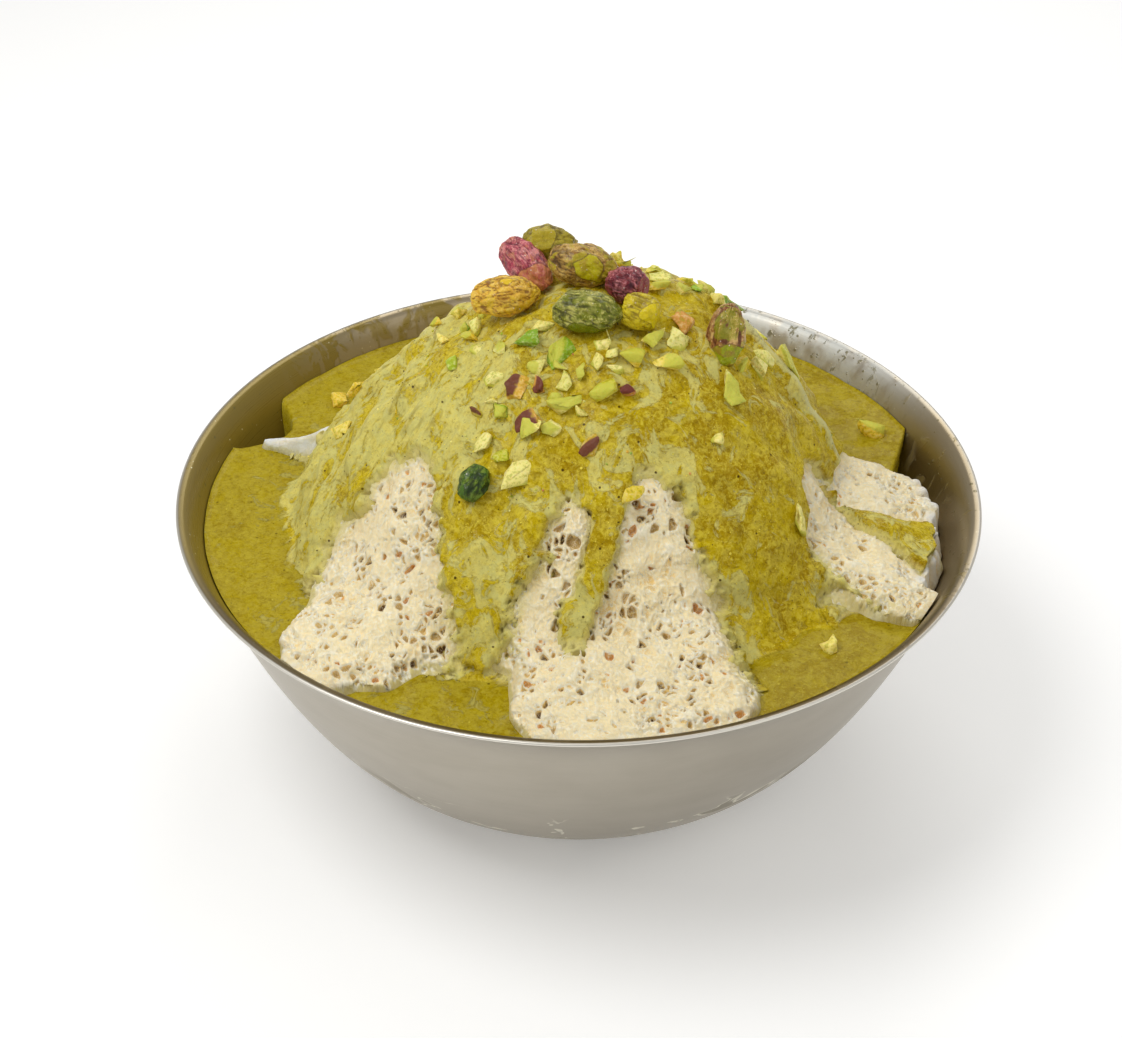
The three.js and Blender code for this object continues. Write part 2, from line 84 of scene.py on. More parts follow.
# Lobes of ice that spread to the wall: middle, half width, reach, how square.
LOBES = (
    (-81, 20, 88, 5),
    (-131, 15, 88, 1.4),
    (-13, 26, 81, 4),
    (-29, 6, 88, 4),
    (163.5, 4, 78, 2),
    (84, 14, 88, 4),
)
# Windows of bare ice: middle and half width at the pool, top, how far the top leans round.
WINDOWS = (
    (-131, 19, 24, -13),
    (-83, 21, 29, 8),
    (-95, 9, 26, 1.5),
    (-24, 12, 16, 5),
    (-2, 20, 6, -8),
    (164, 4.5, 3, -3),
    (118, 17, 20, 6),
    (62, 20, 24, -6),
)
# Tongues of sauce that hang into windows: angle at the top and the tip, heights, half width.
TONGUES = ((-81, -91.5, 30, 0.6, 4), (58, 55, 30, 6, 4))
LEAF = (-15.5, 6.8, 60, 81)  # sauce on the right lobe: angle, half width, inner and outer radius
# Hollows by the wall where the sauce stands low: angle, half width, depth, radius where they start.
HOLLOWS = ((-4, 27, 15, 70), (158, 9, 12, 75))
HOLLOW_BLEND = 5.0

# ---- sizes of the finished surfaces ----

LACE_DEPTH = 1.6  # depth of the deepest holes in the ice
ICE_SHEET = 3.9  # thickness of the sheets of lace
COAT_SHEET = 1.6  # thickness of the sheet of sauce over the ice
POOL_SHEET = 5.0  # thickness of the pools
POOL_START = 57.0  # radius under the heap where the pools start
POOL_STEP = 0.55  # distance between points of the pools, at the wall
CORE_DEPTH = 3.4  # how far the core lies under the heap's surface
CORE_SHELF = -26.0  # height where the core stops following the wall
CORE_FOOT = WALL + 0.4 - LIP
CORE_AROUND = 144  # steps round the core
GAP = 0.25  # room between the upper side of the food and the wall
GAP_UNDER = 0.3  # room between the underside and the wall


# ---- small helpers ----


def mix(low, high, share):
    return low + (high - low) * share


def smooth(value):
    share = np.clip(value, 0, 1)
    return share * share * (3 - 2 * share)


def bell(value, width):
    """1 at 0, falling off smoothly to both sides."""
    return np.exp(-((value / width) ** 2))


def turn_between(a, b):
    """Degrees between two directions."""
    return np.abs((a - b + 180) % 360 - 180)


def polar(radius, angle):
    """x and y of a radius at an angle."""
    return radius * np.cos(np.radians(angle)), radius * np.sin(np.radians(angle))


def stacked(*parts):
    """Grids of numbers joined into a grid of points."""
    return np.stack(np.broadcast_arrays(*parts), axis=-1)


def lumps(x, y, z, size, phase=0.0):
    """Soft lumps, about -1 to 1, from crossed waves: the same as the frame's solids have."""
    k = 2 * math.pi / size
    return (
        0.45 * np.sin(k * (0.83 * x + 0.41 * z) + phase)
        + 0.35 * np.sin(k * (-0.37 * x + 0.96 * y + 0.52 * z) + 1.7 * phase + 1)
        + 0.3 * np.sin(k * (0.61 * x - 0.79 * y + 1.13 * z) + 2.3 * phase + 2)
    )


def hashed(cells, seed):
    """A repeatable draw from 0 to 1 for each whole-number cell."""
    cells = cells.astype(np.uint64)
    mixed = cells[..., 0] * np.uint64(73856093)
    mixed ^= cells[..., 1] * np.uint64(19349663)
    mixed ^= cells[..., 2] * np.uint64(83492791)
    mixed += np.uint64(seed * 7919 + 13)
    mixed *= np.uint64(0x9E3779B97F4A7C15)
    mixed ^= mixed >> np.uint64(29)
    mixed *= np.uint64(0xBF58476D1CE4E5B9)
    mixed ^= mixed >> np.uint64(32)
    return (mixed & np.uint64(0xFFFFFF)).astype(float) / 0xFFFFFF


def soft_noise(points, size, seed):
    """Smooth noise from -1 to 1, with lumps about size across. size may differ by axis."""
    scaled = points / np.asarray(size, float)
    cell = np.floor(scaled)
    part = scaled - cell
    ease = part**3 * (part * (6 * part - 15) + 10)
    cell = cell.astype(np.int64)
    total = 0
    for corner in np.ndindex(2, 2, 2):
        weight = np.prod(np.where(corner, ease, 1 - ease), axis=-1)
        total = total + weight * hashed(cell + corner, seed)
    return 2 * total - 1


def ridges(points, size, seed, power=1):
    """Sharp ridges from 0 to 1: 1 along the lines where soft noise changes sign."""
    return np.clip(1 - np.abs(soft_noise(points, size, seed)) * 1.9, 0, 1) ** power


def drift(points, size, seed):
    """Soft noise along each of the three axes."""
    return stacked(*(soft_noise(points, size, seed + axis) for axis in range(3)))


def swirl(points, size, amount, seed):
    """The points, pushed about by soft noise."""
    return points + amount * drift(points, size, seed)


def neighbours(points, seed):
    """The 27 cells about each point, and how far away the spot of each one is, in cells."""
    base = np.floor(points).astype(np.int64)
    for offset in np.ndindex(3, 3, 3):
        cell = base + offset - 1
        spot = stacked(*(hashed(cell, seed + axis) for axis in range(3)))
        yield cell, np.linalg.norm(points - cell - spot, axis=-1)


def bubbles(points, size, small, large, share, seed):
    """Distance to the nearest of many scattered balls, over its radius."""
    nearest = np.full(points.shape[:-1], 9.0)
    for cell, apart in neighbours(points / size, seed):
        radius = mix(small, large, hashed(cell, seed + 4) ** 1.6)
        there = hashed(cell, seed + 3) < share
        nearest = np.where(there, np.minimum(nearest, apart * size / radius), nearest)
    return nearest


def cracked(points, size, seed):
    """Scattered cells: distance to the nearest border, and the cell's draw. In cell sizes."""
    first = np.full(points.shape[:-1], 9.0)
    second = first.copy()
    draw = np.zeros_like(first)
    for cell, apart in neighbours(points / size, seed):
        closer = apart < first
        second = np.where(closer, first, np.minimum(second, apart))
        draw = np.where(closer, hashed(cell, seed + 3), draw)
        first = np.where(closer, apart, first)
    return second - first, draw


# ---- the heap's form, the same as the frame's solids ----


def reach_at(angle):
    """Radius where the ice ends or dips under the sauce."""
    reach = np.full(np.shape(angle), MOAT_RADIUS)
    for middle, spread, far, square in LOBES:
        share = np.exp(-((turn_between(angle, middle) / spread) ** square))
        reach = np.maximum(reach, mix(MOAT_RADIUS, far, share))
    spread = np.clip((reach - MOAT_RADIUS) / 15, 0, 1)
    folds = np.abs(np.sin(angle / SCALLOP_PITCH * np.pi))
    return reach - SCALLOP_DEPTH * spread * (1 - folds)


def heap_height(radius, angle):
    """Height of the ice. Past its reach a lobe falls off steeply."""
    dome = HEAP_HEIGHT * (1 - (np.abs(radius) / HEAP_RADIUS) ** HEAP_CURVE)
    reach = reach_at(angle)
    spread = smooth((reach - MOAT_RADIUS) / 12)
    along = (radius - SKIRT_START) / (reach - SKIRT_START)
    skirt = 2.5 - (2.5 + LOBE_EDGE) * np.clip(along, 0, 1.2) ** 0.9
    skirt = skirt - 3.2 * np.maximum(radius - reach, 0)
    lifted = 2 * np.log(np.exp(dome / 2) + np.exp(skirt / 2))
    near = radius < SKIRT_START - 8
    return np.where(near | (spread <= 0), dome, mix(dome, lifted, spread))


def leaning(height):
    """How far the heap leans towards +X at a height."""
    return HEAP_LEAN * np.clip(height / HEAP_HEIGHT, 0, 1)


def heap_relief(x, y, z, angle):
    """Bumps and folds of the whole heap."""
    low = smooth((HEAP_HEIGHT - 8 - z) / 20)
    folds = np.sin(np.radians(angle) * 23 + 0.12 * z) * np.sin(np.radians(angle) * 7)
    return 0.7 * lumps(x, y, z, 17) + 0.45 * lumps(x, y, z, 8, 3) + 0.8 * low * folds


def bare_ice(angle, height, radius, blend, stray=0.0):
    """1 inside a window of bare ice, 0 under sauce. blend is the edge's width in degrees."""
    bare = np.zeros(np.shape(angle))
    wander = np.sin(height * 0.45 + angle * 0.2) + 0.6 * np.sin(height * 0.9 - angle * 0.31)
    wander = wander + stray
    for middle, width, top, lean in WINDOWS:
        rise = (height + SAUCE_DEPTH) / (top + SAUCE_DEPTH)
        centre = middle + lean * np.clip(rise, 0, 1)
        room = width * (1 - np.clip(rise, 0, 1) ** 1.8) ** 0.7
        inside = room - turn_between(angle, centre) + wander
        bare = np.maximum(bare, smooth(inside / blend + 0.5) * smooth((1 - rise) * 6))
    for start, end, high, low, width in TONGUES:
        share = (high - height) / (high - low)
        centre = mix(start, end, np.clip(share, 0, 1))
        room = width * np.clip(4.5 * (1 - share) + 0.2, 0, 1) ** 0.6
        inside = room - turn_between(angle, centre) + wander * 0.5
        bare = bare * (1 - smooth(inside / (0.4 * blend) + 0.5) * smooth((1 - share) * 8 + 0.5))
    middle, width, inner, outer = LEAF
    share = np.clip((radius - inner) / (outer - inner), 0, 1)
    room = width * share**0.65 * smooth((outer - radius) / 1.5)
    return bare * smooth((turn_between(angle, middle) - room + 0.4 * wander) / 1.6 + 0.4)


def wall_radius(height):
    """Inside radius of the bowl at a height below the lip."""
    share = (np.clip(height + LIP, 0.01, BODY_TOP) / BODY_TOP) ** (1 / WALL_CURVE)
    run = BODY_RADIUS - FOOT_RADIUS
    rise = WALL_CURVE * BODY_TOP * share ** (WALL_CURVE - 1)
    return FOOT_RADIUS + run * share - WALL * np.hypot(run, rise) / rise


def sauce_level(x, y):
    """Height of the pools, with slow waves, and the hollows where the sauce stands low."""
    angle = np.degrees(np.arctan2(y, x))
    radius = np.hypot(x, y)
    level = 0.16 * lumps(x, y, 0, 21, 2) + 0.08 * lumps(x, y, 0, 9, 4) - SAUCE_DEPTH
    for middle, width, depth, start in HOLLOWS:
        share = np.clip((radius - start) / (BODY_RADIUS - 1 - start), 0, 1)
        inside = width * np.sqrt(share) - turn_between(angle, middle)
        level = level - depth * smooth(inside / HOLLOW_BLEND)
    return level


def heap_at(x, y):
    """Angle, radius and height of the plain heap under a place."""
    lean = 0
    for _ in range(7):
        angle = np.degrees(np.arctan2(y, x - lean))
        radius = np.hypot(x - lean, y)
        height = heap_height(radius, angle)
        lean = leaning(height)
    return angle, radius, height


# ---- making meshes ----


def facing_out(points, faces):
    """The faces, all turned over if they enclose a negative volume."""
    a, b, c = (points[faces[:, corner]] for corner in range(3))
    volume = np.einsum("ij,ij->i", a, np.cross(b, c)).sum()
    return faces if volume > 0 else faces[:, ::-1]


def new_piece(name, points, faces, material, values=None, smooth_shaded=True, rim=None):
    """A mesh object from points in millimetres over the lip, with named values on its points.

    rim holds pairs of points whose edges stay sharp.
    """
    faces = facing_out(points, faces)
    mesh = bpy.data.meshes.new(name)
    mesh.vertices.add(len(points))
    placed = (points + (0, 0, LIP)) * MM
    mesh.vertices.foreach_set("co", placed.astype(np.float32).ravel())
    mesh.loops.add(faces.size)
    mesh.loops.foreach_set("vertex_index", faces.astype(np.int32).ravel())
    mesh.polygons.add(len(faces))
    mesh.polygons.foreach_set("loop_start", np.arange(0, faces.size, 3, dtype=np.int32))
    mesh.update(calc_edges=True)
    mesh.validate()
    for key, numbers in (values or {}).items():
        layer = mesh.attributes.new(key, "FLOAT", "POINT")
        layer.data.foreach_set("value", np.asarray(numbers, np.float32).ravel())
    if smooth_shaded:
        mesh.shade_smooth()
    if rim is not None:
        ends = np.zeros(2 * len(mesh.edges), np.int64)
        mesh.edges.foreach_get("vertices", ends)
        codes = np.sort(ends.reshape(-1, 2), axis=1) @ (len(points), 1)
        sharp = np.isin(codes, np.sort(rim, axis=1) @ (len(points), 1))
        layer = mesh.attributes.new("sharp_edge", "BOOLEAN", "EDGE")
        layer.data.foreach_set("value", sharp)
    mesh.materials.append(material)
    piece = bpy.data.objects.new(name, mesh)
    bpy.context.scene.collection.objects.link(piece)
    return piece


def new_sheet(name, top, under, material, values, keep=None):
    """A closed sheet between two grids of points, with a grid for each named value."""
    points, faces, rows, rim = closed_sheet(top, under, keep)
    values = {key: numbers.ravel()[rows] for key, numbers in values.items()}
    return new_piece(name, points, faces, material, values, rim=rim)


def hand_over(piece, slot, *nodes):
    """Fixes a finished piece to the frame in place of some of its nodes."""
    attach(piece, "root")
    if nodes:
        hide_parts(*nodes)


def mend_corners(keep):
    """Kept cells that meet only at a corner are joined, so that no edge has four faces."""
    for _ in range(4):
        a, b, c, d = keep[:-1, :-1], keep[:-1, 1:], keep[1:, :-1], keep[1:, 1:]
        pinch = (a & d & ~b & ~c) | (b & c & ~a & ~d)
        for part in (a, b, c, d):
            part |= pinch
    return keep


def closed_sheet(top, under, keep=None, block=4):
    """Points, triangles, source rows and sharp rim of a closed sheet between two grids of points.

    keep marks the grid's cells that the sheet has. The hidden underside is made coarser: its inner
    points are gathered into blocks.
    """
    rows, columns = top.shape[:2]
    total = rows * columns
    if keep is None:
        keep = np.ones((rows - 1, columns - 1), bool)
    keep = mend_corners(keep.copy())
    index = np.arange(total).reshape(rows, columns)
    a, b = index[:-1, :-1][keep], index[:-1, 1:][keep]
    d, c = index[1:, :-1][keep], index[1:, 1:][keep]
    upper = np.concatenate([np.stack([a, b, c], 1), np.stack([a, c, d], 1)])

    padded = np.pad(keep, 1)
    inner = padded[:-1, :-1] & padded[:-1, 1:] & padded[1:, :-1] & padded[1:, 1:]
    gathered = index.copy()
    for row in range(0, rows - block, block):
        for column in range(0, columns - block, block):
            patch = (slice(row, row + block), slice(column, column + block))
            if inner[patch].all():
                gathered[patch] = index[row + block // 2, column + block // 2]
    lower = gathered.ravel()[upper[:, ::-1]]
    distinct = (lower != np.roll(lower, 1, axis=1)).all(axis=1)
    lower = lower[distinct] + total

    edges = np.concatenate([upper[:, [0, 1]], upper[:, [1, 2]], upper[:, [2, 0]]])
    rim = edges[~np.isin(edges @ (total, 1), edges @ (1, total))]
    near, far = rim[:, 0], rim[:, 1]
    low_near, low_far = near + total, far + total
    walls = [np.stack([far, near, low_near], 1), np.stack([far, low_near, low_far], 1)]
    faces = np.concatenate([upper, lower, *walls])

    used, faces = np.unique(faces, return_inverse=True)
    faces = faces.reshape(-1, 3)
    points = np.concatenate([top.reshape(-1, 3), under.reshape(-1, 3)])[used]
    return points, faces, used % total, np.searchsorted(used, rim)


def closed_rings(rings, low, high):
    """Points and triangles of a closed skin over rings of points, with a point at each end."""
    count, around = rings.shape[:2]
    points = np.concatenate([[low], rings.reshape(-1, 3), [high]])
    faces = []
    here = np.arange(around)
    after = (here + 1) % around
    for ring in range(count - 1):
        base, above = 1 + ring * around, 1 + (ring + 1) * around
        faces.append(np.stack([base + here, base + after, above + after], 1))
        faces.append(np.stack([base + here, above + after, above + here], 1))
    last = 1 + (count - 1) * around
    faces.append(np.stack([np.zeros_like(here), 1 + after, 1 + here], 1))
    faces.append(np.stack([np.full_like(here, len(points) - 1), last + here, last + after], 1))
    return points, np.concatenate(faces)


def graded(low, high, spacing):
    """Places from low to high whose spacing is a function of place."""
    fine = np.linspace(low, high, 4000)
    count = np.concatenate([[0], np.cumsum(np.diff(fine) / spacing(fine[:-1]))])
    return np.interp(np.arange(int(count[-1]) + 1) * count[-1] / int(count[-1]), count, fine)


# ---- writing node trees as sums ----


class Wire:
    """A node's socket that Python arithmetic can be written on."""

    def __init__(self, graph, socket):
        self.graph = graph
        self.socket = socket

    def maths(self, kind, *values):
        return self.graph.wire("ShaderNodeMath", {"operation": kind}, dict(enumerate(values)))

    def __add__(self, other):
        return self.maths("ADD", self, other)

    def __sub__(self, other):
        return self.maths("SUBTRACT", self, other)

    def __mul__(self, other):
        return self.maths("MULTIPLY", self, other)

    def __rsub__(self, other):
        return self.maths("SUBTRACT", other, self)

    __radd__ = __add__
    __rmul__ = __mul__

    def most(self, other):
        return self.maths("MAXIMUM", self, other)

    def least(self, other):
        return self.maths("MINIMUM", self, other)

    def above(self, low, high):
        """0 below low, 1 over high, and a smooth step between; low may be the higher one."""
        settings = {"interpolation_type": "SMOOTHSTEP"}
        inputs = {"Value": self, "From Min": low, "From Max": high}
        return self.graph.wire("ShaderNodeMapRange", settings, inputs)

    def near(self, middle, far, close):
        """1 where the value is closer than close to the middle, fading out to far."""
        return self.maths("ABSOLUTE", self - middle).above(far, close)


class Graph:
    """A node tree, and the nodes that are added to it."""

    def __init__(self, tree):
        self.tree = tree

    def node(self, kind, settings=None, inputs=None):
        """Adds a node: its settings come first, then the values or links of its sockets."""
        made = self.tree.nodes.new(kind)
        for key, value in (settings or {}).items():
            setattr(made, key, value)
        for key, value in (inputs or {}).items():
            if isinstance(value, Wire):
                self.tree.links.new(value.socket, made.inputs[key])
            else:
                made.inputs[key].default_value = value
        return made

    def wire(self, kind, settings=None, inputs=None, output=0):
        return Wire(self, self.node(kind, settings, inputs).outputs[output])


class Finish(Graph):
    """One material, made from a Principled shader and the nodes in front of it."""

    def __init__(self, name, **constants):
        self.material = bpy.data.materials.new(name)
        self.material.use_nodes = True
        super().__init__(self.material.node_tree)
        self.tree.nodes.clear()
        inputs = {key.replace("_", " "): value for key, value in constants.items()}
        self.shader = self.node("ShaderNodeBsdfPrincipled", {}, inputs)
        out = self.node("ShaderNodeOutputMaterial")
        self.tree.links.new(self.shader.outputs[0], out.inputs["Surface"])

    def place(self, scale=(1, 1, 1)):
        """Object coordinates in millimetres, stretched by scale."""
        base = self.wire("ShaderNodeTexCoord", output="Object")
        factor = tuple(1000 * part for part in scale)
        return self.wire("ShaderNodeVectorMath", {"operation": "MULTIPLY"}, {0: base, 1: factor})

    def shifted(self, scale, shift):
        """Stretched coordinates, moved so that two textures of one kind don't match."""
        inputs = {0: self.place(scale), 1: (shift,) * 3}
        return self.wire("ShaderNodeVectorMath", {"operation": "ADD"}, inputs)

    def axes(self):
        """The three object coordinates in millimetres."""
        parts = self.node("ShaderNodeSeparateXYZ", {}, {0: self.place()})
        return [Wire(self, part) for part in parts.outputs]

    def values(self, *names):
        """Named values of the mesh."""
        return [
            self.wire("ShaderNodeAttribute", {"attribute_name": name}, output="Fac") for name in names
        ]

    def noise(self, size, detail=2.0, rough=0.5, twist=0.0, scale=(1, 1, 1), shift=0.0):
        """Noise from 0 to 1, with lumps about size millimetres across."""
        inputs = {"Vector": self.shifted(scale, shift), "Scale": 1 / size, "Detail": detail}
        inputs |= {"Roughness": rough, "Distortion": twist}
        return self.wire("ShaderNodeTexNoise", {}, inputs)

    def dots(self, size, radius, share, shift=0.0):
        """Small round specks: 1 inside. share of the cells, size millimetres wide, have one."""
        inputs = {"Vector": self.shifted((1, 1, 1), shift), "Scale": 1 / size}
        cell = self.node("ShaderNodeTexVoronoi", {}, inputs)
        away = Wire(self, cell.outputs["Distance"])
        draw = self.wire("ShaderNodeSeparateColor", {}, {0: Wire(self, cell.outputs["Color"])})
        return away.above(radius / size, 0.6 * radius / size) * draw.above(share, share - 0.01)

    def ramp(self, place, stops):
        """A colour that goes from stop to stop: each has its place and screen values."""
        made = self.node("ShaderNodeValToRGB", {}, {0: place})
        elements = made.color_ramp.elements
        while len(elements) < len(stops):
            elements.new(1.0)
        for element, (spot, *tone) in zip(elements, stops):
            element.position = spot
            element.color = colour(*tone)
        return Wire(self, made.outputs[0])

    def blend(self, share, low, high):
        """A colour between two others."""
        inputs = {0: share, 6: low, 7: high}
        return self.wire("ShaderNodeMix", {"data_type": "RGBA"}, inputs, output=2)

    def layers(self, base, *coats):
        """The base with coats laid over it in turn: how much shows, then a colour or its values."""
        for share, *tone in coats:
            base = self.blend(share, base, tone[0] if len(tone) == 1 else colour(*tone))
        return base

    def feed(self, **links):
        for key, value in links.items():
            self.tree.links.new(value.socket, self.shader.inputs[key.replace("_", " ")])

    def bump(self, height, depth):
        """Relief of the given depth in millimetres."""
        inputs = {"Height": height, "Distance": depth * MM, "Strength": 1.0}
        self.feed(Normal=self.wire("ShaderNodeBump", {}, inputs))


def colour(*levels):
    """A colour from its screen values, 0 to 255."""
    parts = (level / 255 for level in levels)
    linear = (part / 12.92 if part <= 0.04045 else ((part + 0.055) / 1.055) ** 2.4 for part in parts)
    return (*linear, 1.0)


# What all colour properties share.
TONE = {"subtype": "COLOR", "size": 4, "min": 0, "max": 1}


# ---- steel bowl ----


class BowlLooks(bpy.types.PropertyGroup):
    around: bpy.props.IntProperty(
        name="Steps around", description="Faces round the bowl", default=224, min=48, max=400
    )
    steel: bpy.props.FloatVectorProperty(
        name="Steel", description="Colour of the brushed steel", default=colour(176, 169, 155), **TONE
    )
    roughness: bpy.props.FloatProperty(
        name="Roughness", description="How blurred the steel's reflections are", subtype="FACTOR",
        default=0.3, min=0, max=1,
    )
    film: bpy.props.FloatVectorProperty(
        name="Film", description="Colour of sauce smeared on the inside of the wall",
        default=colour(128, 108, 22), **TONE,
    )


# The flared rim: radius, height over the foot, and how much each point is inside and on the lip.
RIM = (
    (85.4, 59.2, 0, 0), (86.3, 61.0, 0, 0), (87.3, 62.6, 0, 0), (88.3, 63.9, 0, 0),
    (89.2, 64.8, 0, 0), (89.75, 65.3, 0, 0), (90.0, 65.6, 0, 0), (89.95, 65.84, 0, 0),
    (89.7, 66.0, 0, 0.2), (89.3, 65.96, 0.6, 1), (88.6, 65.84, 1, 1), (88.1, 65.6, 1, 1),
    (87.3, 64.8, 1, 0.7), (86.3, 63.3, 1, 0.3), (85.3, 61.4, 1, 0), (84.5, 59.4, 1, 0),
    (83.75, 57.4, 1, 0),
)


def bowl_profile():
    """Radius, height over the foot, and how much each point is inside and on the lip."""
    profile = [(0.0, 0.0, 0, 0)]
    profile += [(share * FOOT_RADIUS, 0.0, 0, 0) for share in (0.4, 0.8, 0.97)]
    run = BODY_RADIUS - FOOT_RADIUS
    for depth, low, high, inside in ((0.0, 0.02, 0.955, 0), (WALL, 0.94, 0, 1)):
        for share in np.linspace(low, high, 34):
            rise = WALL_CURVE * BODY_TOP * share ** (WALL_CURVE - 1)
            length = math.hypot(run, rise)
            radius = FOOT_RADIUS + run * share - depth * rise / length
            profile.append((radius, BODY_TOP * share**WALL_CURVE + depth * run / length, inside, 0))
        profile += RIM if not inside else ((0.0, WALL, 1, 0),)
    return np.array(profile)


def steel_finish(looks):
    finish = Finish("brushed_steel", Metallic=1.0)
    inside, lip = finish.values("inside", "lip")
    across, deep, height = finish.axes()
    outside = 1 - inside
    brushed = finish.noise(1.0, 3, 0.6, scale=(0.03, 0.03, 5.0))
    cloudy = finish.noise(14, 3, 0.55, scale=(1, 1, 2.2))
    low = height.above(34, 4) * outside

    # Wet and frosted marks near the foot, each with a thin pale outline.
    spread = finish.noise(17, 2.5, 0.5, 0.6, scale=(1, 1, 1.5), shift=3.0)
    patch = spread.above(0.535, 0.545) * height.above(30, 24) * outside
    outline = spread.near(0.54, 0.012, 0.004) * height.above(31, 25) * outside

    # Sauce smeared on the inside, thick to the left and thin behind, and drops on the wall.
    drips = finish.noise(5, 3, 0.6, 0.8, scale=(1, 1, 0.35), shift=9.0)
    left = across.above(-52, -76)
    behind = deep.above(20, 60)
    right = behind * across.above(10, 40)
    clear = 1 - right
    thick = left * drips.above(0.1, 0.26)
    thin = behind * across.above(10, -20) * drips.above(0.44, 0.56) * 0.8
    film = ((thick + thin + drips.above(0.58, 0.66) * 0.7 * clear) * inside).least(1.0)
    frost = right * inside * finish.noise(6, 3, 0.6, scale=(1, 1, 0.5), shift=2.0).above(0.3, 0.55)
    runs = finish.noise(2.2, 3, 0.7, 0.5, scale=(1, 1, 0.4), shift=6.0).above(0.58, 0.66)
    specks = finish.dots(3.0, 0.5, 0.35, 5.0) + finish.dots(1.7, 0.26, 0.4, 8.0)
    drops = (specks + runs * right).least(1.0) * inside * height.above(46, 56)
    glints = finish.dots(1.9, 0.22, 0.45, 41.0) * inside * height.above(LIP - 14, LIP - 8)
    # Painted highlight: a bright band along the top of the rim's outer side.
    bead_highlight = height.above(LIP - 0.9, LIP - 0.4) * (1 - lip) * outside
    steel = finish.layers(
        tuple(looks.steel),
        (cloudy.above(0.3, 0.75) * 0.35, 160, 152, 137),
        (low * 0.35, 146, 135, 112),
        (patch * 0.5, 126, 118, 96),
        (outline * 0.75, 236, 232, 216),
        (inside * clear * 0.6, 154, 134, 92),
        (frost * 0.75, 206, 208, 204),
        (film * 0.92, tuple(looks.film)),
        (drops * 0.75, 104, 96, 48),
        (glints * (0.3 + left * 0.7) * 0.8, 250, 244, 206),
        # Painted reflection: at the front the lip's inner slope is coloured dark brown, as if it
        # mirrored the sauce.
        (lip * deep.above(-25, -55) * 0.85, 84, 70, 44),
        (bead_highlight * 0.8, 240, 236, 226),
    )
    smear = film.most(drops * 0.8)
    scratch = finish.noise(0.9, 2, 0.7, scale=(0.05, 0.05, 3.0), shift=4.0)
    rough = looks.roughness + brushed * 0.14 + frost * 0.2 - smear * 0.08 + patch * 0.1
    finish.feed(Base_Color=steel, Roughness=rough, Metallic=1 - smear * 0.7)
    finish.bump(brushed * 0.5 + scratch * 0.3 + smear * 4.0 + outline * 3.0, 0.02)
    return finish.material


class SHAVEDICE_OT_bowl(bpy.types.Operator):
    """Make the round steel bowl with its folded lip"""

    bl_idname = "shavedice.bowl"
    bl_label = "Steel bowl"

    def execute(self, context):
        looks = context.scene.shavedice_bowl
        profile = bowl_profile()
        turn = np.linspace(0, 2 * np.pi, looks.around, endpoint=False)
        middle = profile[1:-1]
        reach = middle[:, :1]
        rings = stacked(reach * np.cos(turn), reach * np.sin(turn), middle[:, 1:2] - LIP)
        points, faces = closed_rings(rings, (0, 0, -LIP), (0, 0, WALL - LIP))
        values = {}
        for name, column in (("inside", 2), ("lip", 3)):
            repeats = [1, *[looks.around] * len(middle), 1]
            values[name] = np.repeat(profile[:, column], repeats)
        piece = new_piece("steel_bowl", points, faces, steel_finish(looks), values)
        hand_over(piece, "steel", "bowl")
        return {"FINISHED"}


# ---- shaved ice ----


class IceLooks(bpy.types.PropertyGroup):
    step: bpy.props.FloatProperty(
        name="Mesh step", description="Distance between points in the front windows, millimetres",
        default=0.21, min=0.15, max=2,
    )
    cream: bpy.props.FloatVectorProperty(
        name="Ice", description="Colour of the milk ice", default=colour(255, 234, 184), **TONE
    )
    # Painted shade: the darker colour painted on the ice in its hollows.
    hollow_shade: bpy.props.FloatVectorProperty(
        name="Hollows", description="Colour of the ice in its hollows", default=colour(238, 204, 132),
        **TONE,
    )
    # Painted shade: the colour painted at the bottom of the deepest holes.
    pit: bpy.props.FloatVectorProperty(
        name="Pits", description="Colour at the bottom of the deepest holes", default=colour(88, 50, 8),
        **TONE,
    )


